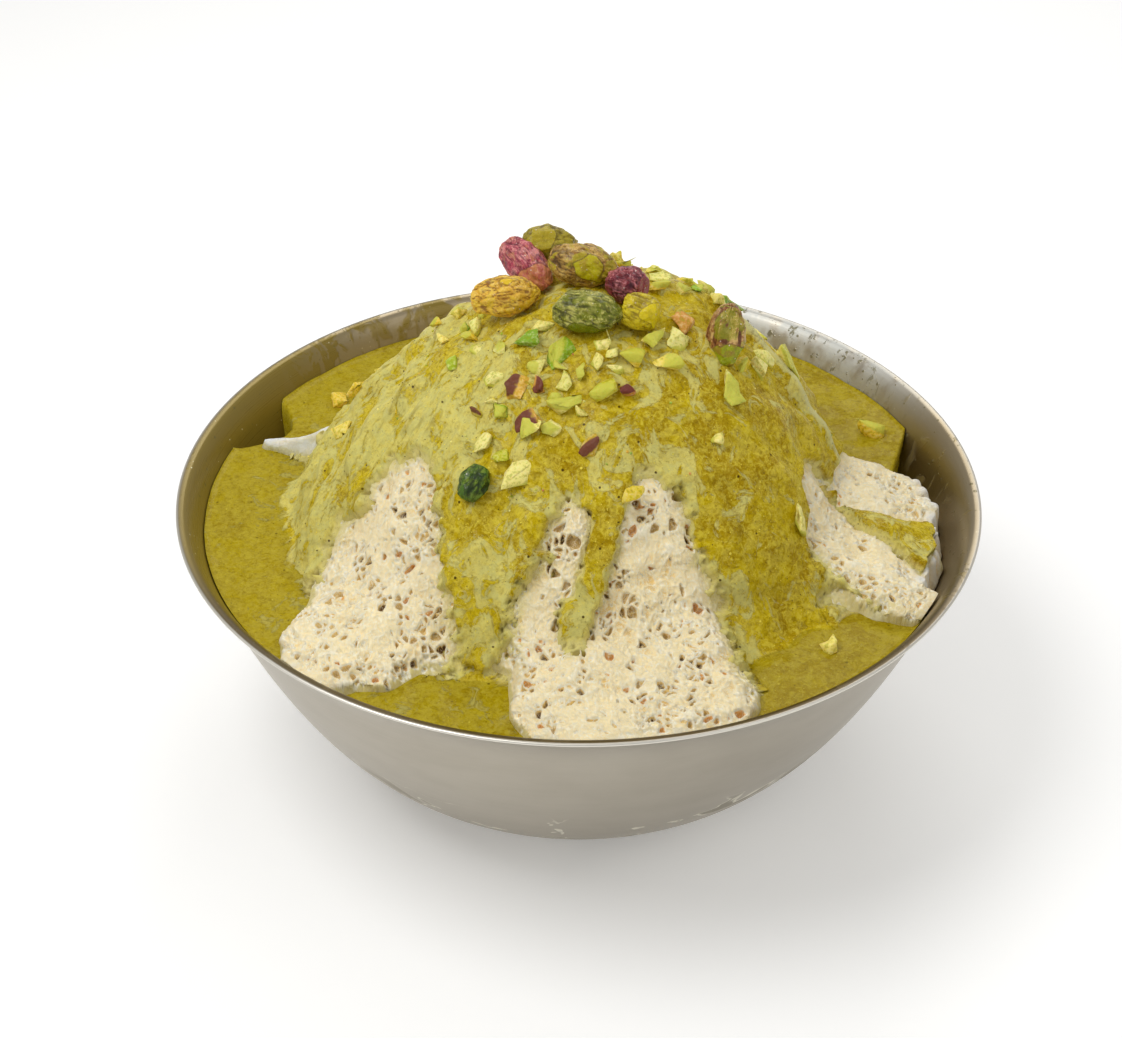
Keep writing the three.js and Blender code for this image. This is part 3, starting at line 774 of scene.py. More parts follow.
def ice_finish(looks):
    finish = Finish(
        "milk_ice", Roughness=0.38, IOR=1.36, Specular_IOR_Level=0.2, Subsurface_Weight=0.2,
        Subsurface_Scale=0.001, Subsurface_Radius=(1.0, 0.9, 0.7),
    )
    pit, draw, raised, tint, rim = finish.values("pit", "draw", "raised", "tint", "rim")
    fine = finish.noise(0.8, 3, 0.7, 0.8)
    broad = finish.noise(9, 2, 0.5)
    threads = finish.noise(1.9, 2, 0.6, 1.6, scale=(1, 1, 0.6), shift=3.0).near(0.5, 0.035, 0.006)
    hairs = finish.noise(1.0, 1, 0.5, 1.8, scale=(1, 1, 0.7), shift=9.0).near(0.5, 0.04, 0.008)
    lines = threads.most(hairs * 0.8)
    # Painted shade and highlight: the hollows between the ridges are coloured darker beige, and the
    # raised ridges near white.
    hollows = (raised + (fine - 0.5) * 0.35 + (broad - 0.5) * 0.4 + lines * 0.2).above(0.48, 0.12)
    high = (raised + (fine - 0.5) * 0.3).above(0.55, 0.9) * 0.8
    stain = (tint + (finish.noise(2.2, 3, 0.6) - 0.5) * 0.6).above(0.08, 0.6)
    # A bright ring round the edge of each hole: the strands there, lit as a painted highlight.
    brim_highlight = pit.above(0.01, 0.1) * pit.above(0.34, 0.22)
    # Painted shade in the holes: amber inside them, and the pit colour at the bottom of the deepest.
    amber = finish.blend(draw.above(0.8, 0.84), colour(232, 198, 118), colour(238, 174, 86))
    dark = pit.above(0.44, 0.8) * (1 - draw.above(0.24, 0.4) * 0.85)
    ice = finish.layers(
        tuple(looks.cream),
        (hollows, tuple(looks.hollow_shade)),
        (high.most(lines * 0.7), 255, 247, 222),
        (rim * 0.8, 238, 242, 244),
        (stain * 0.6, 210, 200, 112),
        (brim_highlight * 0.85, 255, 250, 230),
        (pit.above(0.24, 0.4) * 0.85, amber),
        (dark * 0.9, tuple(looks.pit)),
        (lines * (0.25 + pit.above(0.1, 0.4) * 0.45), 254, 244, 216),
    )
    finish.feed(Base_Color=ice)
    finish.bump(fine + finish.noise(0.35, 2, 0.6) * 0.5 + lines * 0.7, 0.09)
    return finish.material


# Windows as grids: name, from and to angle, mesh step over the front's, height where they start,
# height where they end, how many pieces they are cut into, frill of the free edge, relief.
LACE_PATCHES = (
    ("ice_left", -160, -104, 1.0, 30, -13, 2, 0.15, 1),
    ("ice_front", -112, -56, 1.0, 33, -12, 2, 0.0, 1),
    ("ice_right", -41, 27, 1.2, 22, -22, 1, 1.0, 1),
    ("ice_streak", 156, 172, 1.4, 9, -18, 1, 0.3, 0.1),
    ("ice_back_left", 96, 142, 2.0, 26, -13, 1, 0.3, 1),
    ("ice_back_right", 36, 67, 2.0, 30, -13, 1, 0.3, 1),
    ("ice_back_lobe", 67, 94, 2.0, 30, -13, 1, 0.0, 1),
)
PATCH_FLOOR = -22.0  # no patch goes lower, far under the pools


# Sizes of the lace's cells: wide ones that open in groups, single ones, and pinholes.
WIDE_CELL = 3.8
FINE_CELL = 1.75
SMALL_CELL = 0.95


def lace(points):
    """How far the ice is moved out at each point, and its pit, draw and raised values."""
    bent = swirl(points, 2.4, 0.7, 11)
    wide_edge, wide_draw = cracked(bent * (1, 1, 0.7), WIDE_CELL, 20)
    fine_edge, fine_draw = cracked(bent * (1, 1, 0.65), FINE_CELL, 40)
    small_edge, small_draw = cracked(bent * (1, 1, 0.8), SMALL_CELL, 50)
    crowd = smooth(0.45 + 1.4 * soft_noise(points, 8, 60))
    crowd = crowd * mix(0.4, 1, smooth((26 - points[..., 2]) / 14))
    opened = (wide_draw < mix(0.14, 0.52, crowd)) * smooth((wide_edge - 0.06) / 0.3)
    slots = smooth((fine_edge - 0.06) / 0.34)
    nets = opened * slots * mix(1.0, 0.5, fine_draw)
    single = (fine_draw < mix(0.14, 0.4, crowd)) * smooth((fine_edge - 0.08) / 0.36) * 0.95
    pins = (small_draw < mix(0.05, 0.2, crowd)) * smooth((small_edge - 0.12) / 0.3) * 0.45
    strand = ridges(swirl(points, 2.2, 0.9, 75), (1.3, 1.3, 2.0), 85, 5)
    pit = np.maximum(np.maximum(nets, single), pins) * (1 - 0.8 * strand)
    weave = smooth(0.5 + 1.3 * soft_noise(points, 6, 65))
    dimple = weave * smooth(fine_edge / 0.35) * mix(0.2, 1, (fine_draw * 7) % 1)
    fibre = swirl(points, 1.8, 0.8, 71)
    web = np.maximum(ridges(fibre, (1.5, 1.5, 3.0), 80), 0.8 * ridges(fibre, (0.8, 0.8, 1.6), 81)) ** 3
    border = bell(wide_edge, 0.1) + strand + 0.7 * weave * bell(fine_edge, 0.09)
    swell = 0.4 * soft_noise(points, 4.6, 90) + 0.2 * soft_noise(points, 1.9, 91)
    out = swell + 0.24 * web + 0.14 * border - 0.32 * dimple - 0.25 * opened - LACE_DEPTH * pit
    # raised also sets where painted highlight and painted shade fall in the ice's colour.
    raised = 0.46 + 0.22 * swell + 0.3 * web + 0.16 * border - 0.34 * dimple - 0.12 * opened
    lot = np.where(nets >= single, wide_draw * 9.3 % 1, (fine_draw * 37) % 1)
    return out, pit, lot, np.clip(raised, 0, 1)


def surface_normals(points):
    """Outward directions of a grid of points whose columns run round and rows run outwards."""
    normal = np.cross(np.gradient(points, axis=0), np.gradient(points, axis=1))
    normal /= np.maximum(np.linalg.norm(normal, axis=-1, keepdims=True), 1e-9)
    return np.where(normal[..., 2:].mean() < 0, -normal, normal)


def inside_wall(points, gap):
    """The points, with those below the lip kept a gap inside the bowl's wall."""
    radius = np.hypot(points[..., 0], points[..., 1])
    room = np.where(points[..., 2] < -0.2, wall_radius(points[..., 2]) - gap, 200)
    share = np.minimum(1, room / np.maximum(radius, 1e-6))
    return stacked(points[..., 0] * share, points[..., 1] * share, points[..., 2])


def lace_patch(looks, name, start, end, coarse, top, foot, cuts, frilly, rough, material):
    """Pieces of lace from an angle to another, and from a height down to the foot."""
    step = looks.step * coarse
    angles = np.arange(start, end, math.degrees(step / 70))
    middle = (start + end) / 2
    trial = np.linspace(5, 92, 500)
    trial = np.linspace(trial[heap_height(trial, middle) > top].max(), 91, 500)
    heights = heap_height(trial, middle)
    length = np.concatenate([[0], np.cumsum(np.hypot(np.diff(trial), np.diff(heights)))])
    deepest = np.interp(foot, heights[::-1], length[::-1])
    radii = np.interp(np.arange(0, deepest, step), length, trial)
    radius, angle = np.meshgrid(radii, angles, indexing="ij")
    height = np.maximum(heap_height(radius, angle), PATCH_FLOOR)
    x, y = polar(radius, angle)
    plain = stacked(x + leaning(height), y, height)
    normal = surface_normals(plain)
    base = plain + normal * heap_relief(x, y, height, angle)[..., None]
    out, pit, draw, raised = lace(base)
    # Nothing stands out close to the wall or on the steep sides under the edge.
    clear = smooth((BODY_RADIUS - 3.2 - radius) / 1.8) * smooth((height + 7.2) / 2)
    out, pit = rough * out * clear, rough * pit * clear

    # A crease where the ice has slumped across the front, and frills on the free edges.
    crease = bell(height - 8 - 3 * np.sin(np.radians(angle) * 9), 2.2)
    crease = crease * smooth((20 - turn_between(angle, -80)) / 8)
    out = out - 0.9 * crease
    raised = raised - 0.2 * crease
    reach = reach_at(angle)
    edge = frilly * bell(radius - reach, 2.2) * smooth((BODY_RADIUS - 2.5 - reach) / 3)
    frill = np.abs(np.sin(angle * 1.3 + 1.2 * soft_noise(base, 5, 140)))
    out = mix(out, 1.2 * frill - 0.5, 0.85 * edge)
    if name == "ice_streak":
        share = np.clip((radius - MOAT_RADIUS) / (reach - MOAT_RADIUS + 1e-6), 0, 1)
        room = mix(4.6, 0.2, share**0.6)
        out = out - 5 * smooth((turn_between(angle, middle) - room) / 3) - 0.6
        frill, edge = frill + 1, edge + 0.6
    pit = pit * (1 - np.minimum(edge * 1.5, 1))
    outer = inside_wall(base + normal * out[..., None], GAP)
    under = inside_wall(base - normal * ICE_SHEET, GAP_UNDER)
    soaked = smooth((sauce_level(x, y) + 2.4 - base[..., 2]) / 1.8)  # sauce drawn up from the pools
    tint = np.maximum(1 - bare_ice(angle, height, radius, 12.0), soaked)
    values = {"pit": pit, "draw": draw, "raised": raised, "tint": tint, "rim": edge * frill}
    pieces = []
    bounds = np.linspace(0, len(angles) - 1, cuts + 1).astype(int)
    for part, (low, high) in enumerate(zip(bounds[:-1], bounds[1:])):
        strip = (slice(None), slice(low, high + 1))
        cut = {key: numbers[strip] for key, numbers in values.items()}
        title = name if cuts == 1 else f"{name}_{part + 1}"
        pieces.append(new_sheet(title, outer[strip], under[strip], material, cut))
    return pieces


class SHAVEDICE_OT_ice(bpy.types.Operator):
    """Make the heap's core and the lacy ice that shows in its windows"""

    bl_idname = "shavedice.ice"
    bl_label = "Shaved ice"

    def execute(self, context):
        looks = context.scene.shavedice_ice
        material = ice_finish(looks)
        angles = np.linspace(-180, 180, CORE_AROUND, endpoint=False)
        reach = reach_at(angles)
        rings = []
        for height in np.linspace(CORE_FOOT, CORE_SHELF, 9):
            rings.append((wall_radius(height) - 0.5, height))
        for share in np.linspace(1, 0.03, 40):
            height = heap_height(reach * share, angles) - CORE_DEPTH
            height = np.maximum(height, CORE_SHELF + 3 * (1 - share))
            rings.append((reach * share - 1.5 * share, height))
        skin = []
        for radius, height in rings:
            x, y = polar(radius, angles)
            skin.append(inside_wall(stacked(x + leaning(height), y, height), 0.5))
        top = (HEAP_LEAN, 0, HEAP_HEIGHT - CORE_DEPTH)
        points, faces = closed_rings(np.array(skin), (0, 0, CORE_FOOT), top)
        values = dict.fromkeys(("pit", "draw", "tint", "rim"), np.zeros(len(points)))
        values["raised"] = np.full(len(points), 0.4)
        core = new_piece("ice_core", points, faces, material, values)
        hand_over(core, "milk_ice", "shaved_ice")
        for patch in LACE_PATCHES:
            for piece in lace_patch(looks, *patch, material):
                hand_over(piece, "milk_ice", "shaved_ice")
        return {"FINISHED"}


# ---- pistachio sauce ----


class SauceLooks(bpy.types.PropertyGroup):
    step: bpy.props.FloatProperty(
        name="Mesh step", description="Distance between points of the coat, millimetres",
        default=0.47, min=0.3, max=3,
    )
    thickness: bpy.props.FloatProperty(
        name="Thickness", description="Usual thickness of the coat, millimetres", default=2.2,
        min=0.5, max=4,
    )
    olive: bpy.props.FloatVectorProperty(
        name="Sauce", description="Main colour of the sauce", default=colour(196, 171, 4), **TONE
    )
    dark: bpy.props.FloatVectorProperty(
        name="Deep sauce", description="Colour where the sauce is deep and clear",
        default=colour(166, 136, 0), **TONE,
    )
    pale: bpy.props.FloatVectorProperty(
        name="Milky sauce", description="Colour of the milky patches that float on the sauce",
        default=colour(218, 207, 118), **TONE,
    )


def sauce_finish(looks):
    finish = Finish(
        "pistachio_sauce", IOR=1.42, Specular_IOR_Level=0.05, Coat_Roughness=0.05,
        Subsurface_Weight=0.1, Subsurface_Scale=0.001, Subsurface_Radius=(1.0, 0.9, 0.3),
    )
    olive, pale = tuple(looks.olive), tuple(looks.pale)
    pool, milky, thin, pit = finish.values("pool", "milky", "thin", "pit")
    across = finish.axes()[0]
    left = across.above(15, -45)
    broad = finish.noise(12, 3, 0.55, 0.6)
    middle = finish.noise(3.6, 6, 0.72, 1.0, shift=2.0)
    grain = finish.noise(0.7, 4, 0.8)
    flecks = finish.noise(1.4, 5, 0.78, 0.8, shift=27.0)

    # Milky skins with sharp edges, like a map, gathered in some regions.
    region = finish.noise(19, 2, 0.5, shift=7.0).above(0.40, 0.58) + left * 0.6
    coast = finish.noise(6.2, 8, 0.7, 1.2, scale=(1, 1, 0.7), shift=5.0)
    spread = coast + region * 0.09 - across.above(10, 50) * 0.03
    spread = spread + milky * 0.2 + thin * 0.16 - pool * 0.12
    islands = spread.above(0.59, 0.61)
    sage = islands * finish.noise(2.6, 3, 0.5, shift=8.0).above(0.46, 0.56)
    film = (thin + (coast - 0.5) * 0.8).above(0.3, 0.9) * 0.5

    # Ground nut: dark specks, bright grains and thin curved strands.
    strands = finish.noise(2.0, 1, 0.5, 2.2, shift=11.0).near(0.5, 0.013, 0.003)
    strands = strands * finish.noise(4, 1, 0.5, shift=13.0).above(0.5, 0.58) * (1 - pool * 0.6)
    bright = (finish.dots(1.2, 0.18, 0.55, 17.0) + finish.dots(3.1, 0.34, 0.3, 31.0)).least(1.0)
    dark = (finish.dots(1.6, 0.18, 0.5, 21.0) + finish.dots(3.6, 0.36, 0.35, 25.0)).least(1.0)
    sauce = finish.layers(
        olive,
        ((broad - left * 0.12).above(0.36, 0.6), tuple(looks.dark)),
        ((middle + left * 0.05).above(0.47, 0.58) * 0.7, finish.blend(0.28, olive, pale)),
        (flecks.above(0.52, 0.58) * 0.55, 224, 206, 66),
        (flecks.above(0.47, 0.4) * 0.55, 132, 106, 0),
        (islands * (0.6 + flecks.above(0.4, 0.6) * 0.3), pale),
        (sage * 0.5, 200, 196, 122),
        (spread.near(0.593, 0.012, 0.003) * 0.45, 240, 228, 146),
        (milky.above(0.6, 1.0) * 0.75, 206, 202, 150),
        (film, 226, 214, 150),
        ((grain - 0.5).above(0.03, 0.2) * 0.5, 232, 214, 84),
        ((0.5 - grain).above(0.04, 0.2) * 0.5, 108, 84, 0),
        (strands * 0.5, 232, 218, 110),
        (bright * 0.85, 250, 232, 90),
        (dark * 0.9, 62, 40, 6),
        (pool.above(0.4, 1.0) * 0.52, 138, 122, 8),
        # Painted shade: darker sauce in the wrinkles' creases and over the lace's holes.
        (pit.above(0.1, 0.5) * 0.6, 118, 94, 8),
    )
    wet = 0.2 + islands * 0.2 + grain * 0.16
    finish.feed(Base_Color=sauce, Roughness=wet, Coat_Weight=0.08 - islands * 0.06)
    relief = islands * 0.5 + grain * 0.5 + middle * 0.8 + flecks * 0.6 + bright * 0.5 + strands * 0.3
    finish.bump(relief, 0.2)
    return finish.material


# The pale fold down the right side of the heap: angles and radii that it passes through.
FOLD = ((12, 28), (8, 33), (4, 38), (-1, 45), (-2, 54), (-6, 59))


def away_from_path(x, y, path):
    """Distance from a path in the plane, and on which side: positive to its left."""
    best = np.full(np.shape(x), 1e3)
    side = np.zeros(np.shape(x))
    for (ax, ay), (bx, by) in zip(path[:-1], path[1:]):
        run = np.array([bx - ax, by - ay])
        share = np.clip(((x - ax) * run[0] + (y - ay) * run[1]) / (run @ run), 0, 1)
        apart = np.hypot(x - ax - share * run[0], y - ay - share * run[1])
        turn = np.sign(run[0] * (y - ay) - run[1] * (x - ax))
        side = np.where(apart < best, turn, side)
        best = np.minimum(best, apart)
    return best, side


def fold_points():
    angle, radius = np.array(FOLD, float).T
    x, y = polar(radius, angle)
    return stacked(x + leaning(heap_height(radius, angle)), y)


def coat_at(x, y, thickness):
    """The coat's outer surface over places: points, normals, kept mask and named values."""
    angle, radius, height = heap_at(x, y)
    step = 0.4
    east = heap_at(x + step, y)[2]
    north = heap_at(x, y + step)[2]
    normal = stacked((height - east) / step, (height - north) / step, 1.0)
    normal /= np.linalg.norm(normal, axis=-1, keepdims=True)
    plain = stacked(x, y, height)

    runs = 0.3 * np.sin(np.radians(angle) * 17 + 0.09 * height)
    thick = thickness + 0.45 * lumps(x, y, height, 13, 5) + runs
    bent = swirl(plain, 6, 1.6, 101)
    thick += 0.3 * soft_noise(bent, (5, 5, 8), 102) + 0.13 * soft_noise(bent, 2.1, 103)
    thick += 0.06 * soft_noise(plain, 1.0, 104)
    thick += 0.2 * smooth(1.15 - bubbles(plain, 2.6, 0.3, 0.75, 0.45, 110))

    # Wrinkles that run down the left side.
    flank = smooth((-118 - angle) / 22) + smooth((angle - 150) / 15)
    down = stacked(angle * 0.62 + 0.5 * height, 0.16 * height, radius * 0.1)
    down = down + 0.5 * drift(plain, 7, 120)
    wrinkle = ridges(down, 2.6, 125, 2) + 0.6 * ridges(down, 1.3, 126, 3)
    low = smooth((HEAP_HEIGHT - 6 - height) / 14)
    thick += flank * low * 0.7 * (wrinkle - 0.4)

    # The fold on the right: a crest, and a ledge below it.
    apart, side = away_from_path(x, y, fold_points())
    crest = bell(apart, 1.5)
    ledge = smooth(1 - apart / 9) * (side < 0)
    thick += 1.25 * crest - 0.9 * ledge * (1 - crest)

    # Near a window the coat thins to a film that follows the lace, then sinks into its hollows.
    stray = 1.8 * soft_noise(plain, 4.2, 130) + 2.0 * soft_noise(plain, 1.7, 131)
    stray = (stray + 1.0 * soft_noise(plain, 0.8, 132)) * mix(0.4, 1, smooth((-34 - angle) / 10))
    bare = bare_ice(angle, height, radius, 6.0, stray)
    relief = heap_relief(x, y, height, angle)
    out, pit, _, _ = lace(plain + normal * relief[..., None])
    thin = smooth(bare / 0.42)
    film = 0.55 * np.maximum(out, -1.2) + 0.45
    offset = mix(thick, film, thin) - 1.9 * smooth((bare - 0.36) / 0.55) + relief
    point = plain + normal * offset[..., None]
    level = sauce_level(point[..., 0], point[..., 1])
    over = point[..., 2] - level
    widest = np.where(over > 0.6, BODY_RADIUS - 0.7, 82)
    ends = radius < np.where(level < -SAUCE_DEPTH - 1.2, reach_at(angle) - 0.5, widest)
    keep = (bare < 0.93) & (over > -6) & ends
    blended = level + 0.9 * np.logaddexp(0, over / 0.9)
    point[..., 2] = blended - 0.6 * smooth((-2.5 - over) / 3)
    milky = np.clip(crest * 1.1 + 0.75 * flank * low * np.clip(wrinkle, 0, 1), 0, 1)
    # Painted shade: the wrinkles' creases and the lace's holes under the film are darkened through the
    # pit value.
    crease_shade = 0.35 * flank * low * ridges(down, 1.5, 127, 5)
    pit = np.maximum(0.8 * pit * thin, crease_shade)
    values = {"milky": milky, "pool": smooth(-over / 3), "thin": thin, "pit": pit}
    return point, normal, keep, values


def pool_piece(name, start, end, material):
    """A pool of sauce between two angles, from under the heap out to the wall."""
    angles = np.arange(start, end, math.degrees(POOL_STEP / 75))
    wide = float(wall_radius(np.array(-SAUCE_DEPTH))) + 0.02
    inner = np.linspace(POOL_START, wide - 3, 40)
    radii = np.concatenate([inner, wide - 3 * (1 - np.linspace(0.12, 1, 12))])
    radius, angle = np.meshgrid(radii, angles, indexing="ij")
    level = sauce_level(*polar(radius, angle))
    room = wall_radius(level) + 0.16
    radius = POOL_START + (radius - POOL_START) / (wide - POOL_START) * (room - POOL_START)
    x, y = polar(radius, angle)
    level = level + 0.07 * soft_noise(stacked(x, y, 0), 3.2, 150)
    level = level + 0.7 * np.exp((radius - room) / 0.8)  # it climbs a little at the wall
    under = inside_wall(stacked(x, y, level - POOL_SHEET), 0.0)
    values = dict.fromkeys(("milky", "thin", "pit"), np.zeros_like(x))
    values["pool"] = np.ones_like(x)
    return new_sheet(name, stacked(x, y, level), under, material, values)


# Pools of sauce: node, piece, and the angles between which it stands.
POOLS = (
    ("sauce_pool_left", "pool_left", 82, 231),
    ("sauce_pool_front", "pool_front", -133, -79),
    ("sauce_pool_right", "pool_right", -79, -4),
    ("sauce_pool_back", "pool_back", -4, 86),
)


# The coat's grid: where it starts and ends along x, then along y.
COAT_SPAN = ((-74, 82), (-78, 86.2))


class SHAVEDICE_OT_sauce(bpy.types.Operator):
    """Make the sauce that coats the heap and the pools that stand round it"""

    bl_idname = "shavedice.sauce"
    bl_label = "Pistachio sauce"

    def execute(self, context):
        looks = context.scene.shavedice_sauce
        material = sauce_finish(looks)
        step = looks.step

        def wide_step(x):
            return step * mix(1.15, 0.72, np.clip(np.abs(x) / 60, 0, 1))

        def deep_step(y):
            return step * mix(1.05, np.where(y < 0, 0.78, 1.5), np.clip(np.abs(y) / 50, 0, 1))

        across = graded(*COAT_SPAN[0], wide_step)
        along = graded(*COAT_SPAN[1], deep_step)
        x, y = np.meshgrid(across, along, indexing="ij")
        top, normal, keep, values = coat_at(x, y, looks.thickness)
        under = inside_wall(top - normal * COAT_SHEET, GAP_UNDER)
        top = inside_wall(top, GAP)
        cells = keep[:-1, :-1] & keep[1:, :-1] & keep[:-1, 1:] & keep[1:, 1:]
        coat = new_sheet("coat_of_sauce", top, under, material, values, cells)
        hand_over(coat, "pistachio_sauce", "sauce_coat", "sauce_leaf")
        for node, name, start, end in POOLS:
            hand_over(pool_piece(name, start, end, material), "pistachio_sauce", node)
        return {"FINISHED"}


# ---- pistachio kernels ----


class NutLooks(bpy.types.PropertyGroup):
    seed: bpy.props.IntProperty(
        name="Seed", description="Start of the random draws for chips and crumbs", default=7
    )
    swell: bpy.props.FloatProperty(
        name="Chip size", description="Size of the chopped pieces over their usual size",
        default=1.12, min=0.5, max=2,
    )
    crumb_size: bpy.props.FloatProperty(
        name="Crumb size", description="Size of the finest crumbs", subtype="DISTANCE",
        default=0.0008, min=0.0002, max=0.003,
    )
    crumbs: bpy.props.FloatProperty(
        name="Crumbs", description="Crumbs on a square metre where they lie thickest",
        default=60000, min=0, max=500000,
    )


# Kernels: name, size, place above the lip, turn (heading, pitch, roll), cut, colours of skin,
# grooves and ridges, then the bare flesh: its colour, the direction it faces and how wide it is.
KERNELS = (
    ("kernel_gold", (14.5, 9, 8.4), (-15.5, -2.6, 47.4), (6, 6, 25), 1,
     (222, 170, 44), (118, 64, 4), (244, 210, 96), (236, 200, 34), (0.15, -0.35, 0.9), 0.1),
    ("kernel_rose", (16, 8.4, 8), (-11.2, 8.2, 49), (-52, -12, 70), 1,
     (172, 58, 80), (88, 12, 32), (238, 160, 152), (206, 134, 84), (0.35, -0.8, -0.3), 0.5),
    ("kernel_olive", (12.5, 9, 8.6), (-6.4, 14.8, 50.6), (20, -4, 0), 1,
     (150, 134, 22), (88, 70, 8), (188, 172, 60), (176, 156, 20), (-0.3, -0.5, 0.8), 0.3),
    ("kernel_amber", (15, 9.6, 9), (1, 2, 52.6), (-14, -6, 15), 1,
     (150, 108, 34), (62, 38, 2), (222, 186, 100), (188, 176, 0), (0.25, -0.8, 0.35), 0.2),
    ("kernel_green", (14.6, 9.4, 8.6), (1.8, -13.4, 50), (-4, -4, 10), 1,
     (120, 122, 4), (48, 48, 0), (214, 208, 116), (108, 118, 0), (0.0, -0.5, -0.8), 0.42),
    ("kernel_plum", (9.6, 8.2, 8), (10.4, -4.4, 51.2), (-35, 5, 40), 0.75,
     (112, 20, 40), (40, 2, 14), (220, 140, 142), (150, 60, 60), (0.0, 0.9, 0.4), 0.0),
    ("kernel_yellow", (9.4, 8, 7.6), (13, -12.4, 49.2), (-20, -8, 0), 0.7,
     (190, 168, 4), (118, 92, 0), (226, 206, 50), (220, 198, 8), (0.6, -0.7, 0.2), 0.3),
    ("kernel_right", (13.5, 8.8, 7.8), (30.9, -10, 42.8), (75, 56, 20), 1,
     (156, 104, 52), (84, 30, 16), (226, 190, 120), (150, 160, 4), (0.25, -0.7, -0.75), 0.36),
    ("kernel_half", (8.4, 6.4, 5), (-21, -39, 25), (55, 38, 0), 0.8,
     (54, 84, 8), (20, 36, 2), (128, 150, 40), (90, 130, 30), (0.0, -0.6, 0.8), 0.0),
)


def kernel_finish(name, skin, groove, ridge, flesh):
    finish = Finish(
        name, IOR=1.46, Specular_IOR_Level=0.25, Subsurface_Weight=0.05,
        Subsurface_Scale=0.001, Coat_Roughness=0.08, Coat_Weight=0.25,
    )
    bare, crease = finish.values("flesh", "crease")
    mottle = finish.noise(2.2, 4, 0.65, 0.8)
    fine = finish.noise(0.45, 3, 0.7)
    stained = finish.noise(3.4, 4, 0.7, 0.6, shift=21.0).above(0.5, 0.62)
    patchy = finish.noise(4.5, 3, 0.6, 0.8, shift=33.0).above(0.5, 0.58)
    crowded = finish.noise(3, 1, 0.5, shift=14.0).above(0.42, 0.56)
    # White specks: partly salt, partly painted glints.
    salt_and_glints = finish.dots(1.1, 0.2, 0.4, 3.0) * crowded
    inner = finish.layers(
        flesh,
        (mottle.above(0.42, 0.64) * 0.6, skin),
        (fine.above(0.55, 0.75) * 0.35, 246, 232, 120),
    )
    tone = finish.layers(
        skin,
        (mottle.above(0.4, 0.64) * 0.7, ridge),
        ((crease + (fine - 0.5) * 0.7).above(0.15, 0.75) * 0.85, groove),
        (stained * 0.4, groove),
        (patchy * 0.55, flesh),
        ((0.4 - crease).above(0.1, 0.4) * fine.above(0.5, 0.62) * 0.85, ridge),
        (bare.above(0.3, 0.6), inner),
        (bare.above(0.08, 0.4) * bare.above(0.8, 0.5) * 0.6, groove),
        (salt_and_glints * 0.75, 250, 236, 222),
    )
    finish.feed(Base_Color=tone, Roughness=0.34 - bare * 0.1 + fine * 0.16)
    finish.bump(fine + finish.noise(1.1, 3, 0.6) * 0.9 + salt_and_glints * 0.5 - crease * 0.6, 0.24)
    return finish.material


KERNEL_RINGS = 58
KERNEL_AROUND = 84
KERNEL_FLATS = 9


def kernel_skin(size, cut, seed):
    """Rings of points over a kernel along X, how creased each is, and whether it is on the cut."""
    length, width, depth = size
    steps = np.linspace(0, np.pi, KERNEL_RINGS + 2)[1:-1, None]
    turn = np.linspace(0, 2 * np.pi, KERNEL_AROUND, endpoint=False)[None, :]
    along = -np.cos(steps)
    girth = np.sin(steps) ** (0.98 + 0.26 * along) * (1 - 0.1 * along)
    seam = 1 - 0.1 * bell(turn - np.pi / 2, 0.16)
    unit = stacked(along, girth * np.cos(turn), girth * np.sin(turn))

    # Broad flats, as if the nut had dried inside its shell.
    draws = random.Random(seed)
    reach = np.ones(unit.shape[:2])
    for _ in range(KERNEL_FLATS):
        facing = Vector([draws.uniform(-0.6, 0.6), draws.uniform(-1, 1), draws.uniform(-1, 1)])
        facing.normalize()
        toward = np.maximum(unit @ np.array(facing), 1e-3)
        reach = np.minimum(reach, draws.uniform(0.82, 0.95) / toward)
    unit = unit * (1 - 0.85 * (1 - reach))[..., None] * 1.03
    x = np.minimum(unit[..., 0], cut + 0.015 * np.cos(3 * turn)) * length / 2
    points = stacked(x, unit[..., 1] * seam * width / 2, unit[..., 2] * seam * depth / 2)
    out = points * 4 / np.square(size)
    out /= np.linalg.norm(out, axis=-1, keepdims=True)
    bent = swirl(points, 4.0, 0.45, seed)
    grooves = 0.8 * ridges(bent, (9, 0.95, 0.95), seed + 5, 2)
    grooves = np.maximum(grooves, 0.65 * ridges(bent, (3.4, 0.5, 0.5), seed + 6, 2))
    swell = 0.24 * soft_noise(points, 2.2, seed + 8) + 0.11 * soft_noise(points, 0.8, seed + 9)
    whole = np.where(x < (cut - 0.03) * length / 2, 1.0, 0.0) if cut < 1 else np.ones_like(x)
    points = points + out * ((swell - 0.3 * grooves) * whole - 0.05)[..., None]
    return points, grooves * whole, 1 - whole


def turned(points, turn):
    """Points rolled on X, then pitched so that +X rises, then headed round +Z."""
    heading, pitch, roll = (math.radians(part) for part in turn)
    matrix = Matrix.Rotation(heading, 3, "Z") @ Matrix.Rotation(-pitch, 3, "Y")
    matrix = matrix @ Matrix.Rotation(roll, 3, "X")
    return points @ np.array(matrix).T


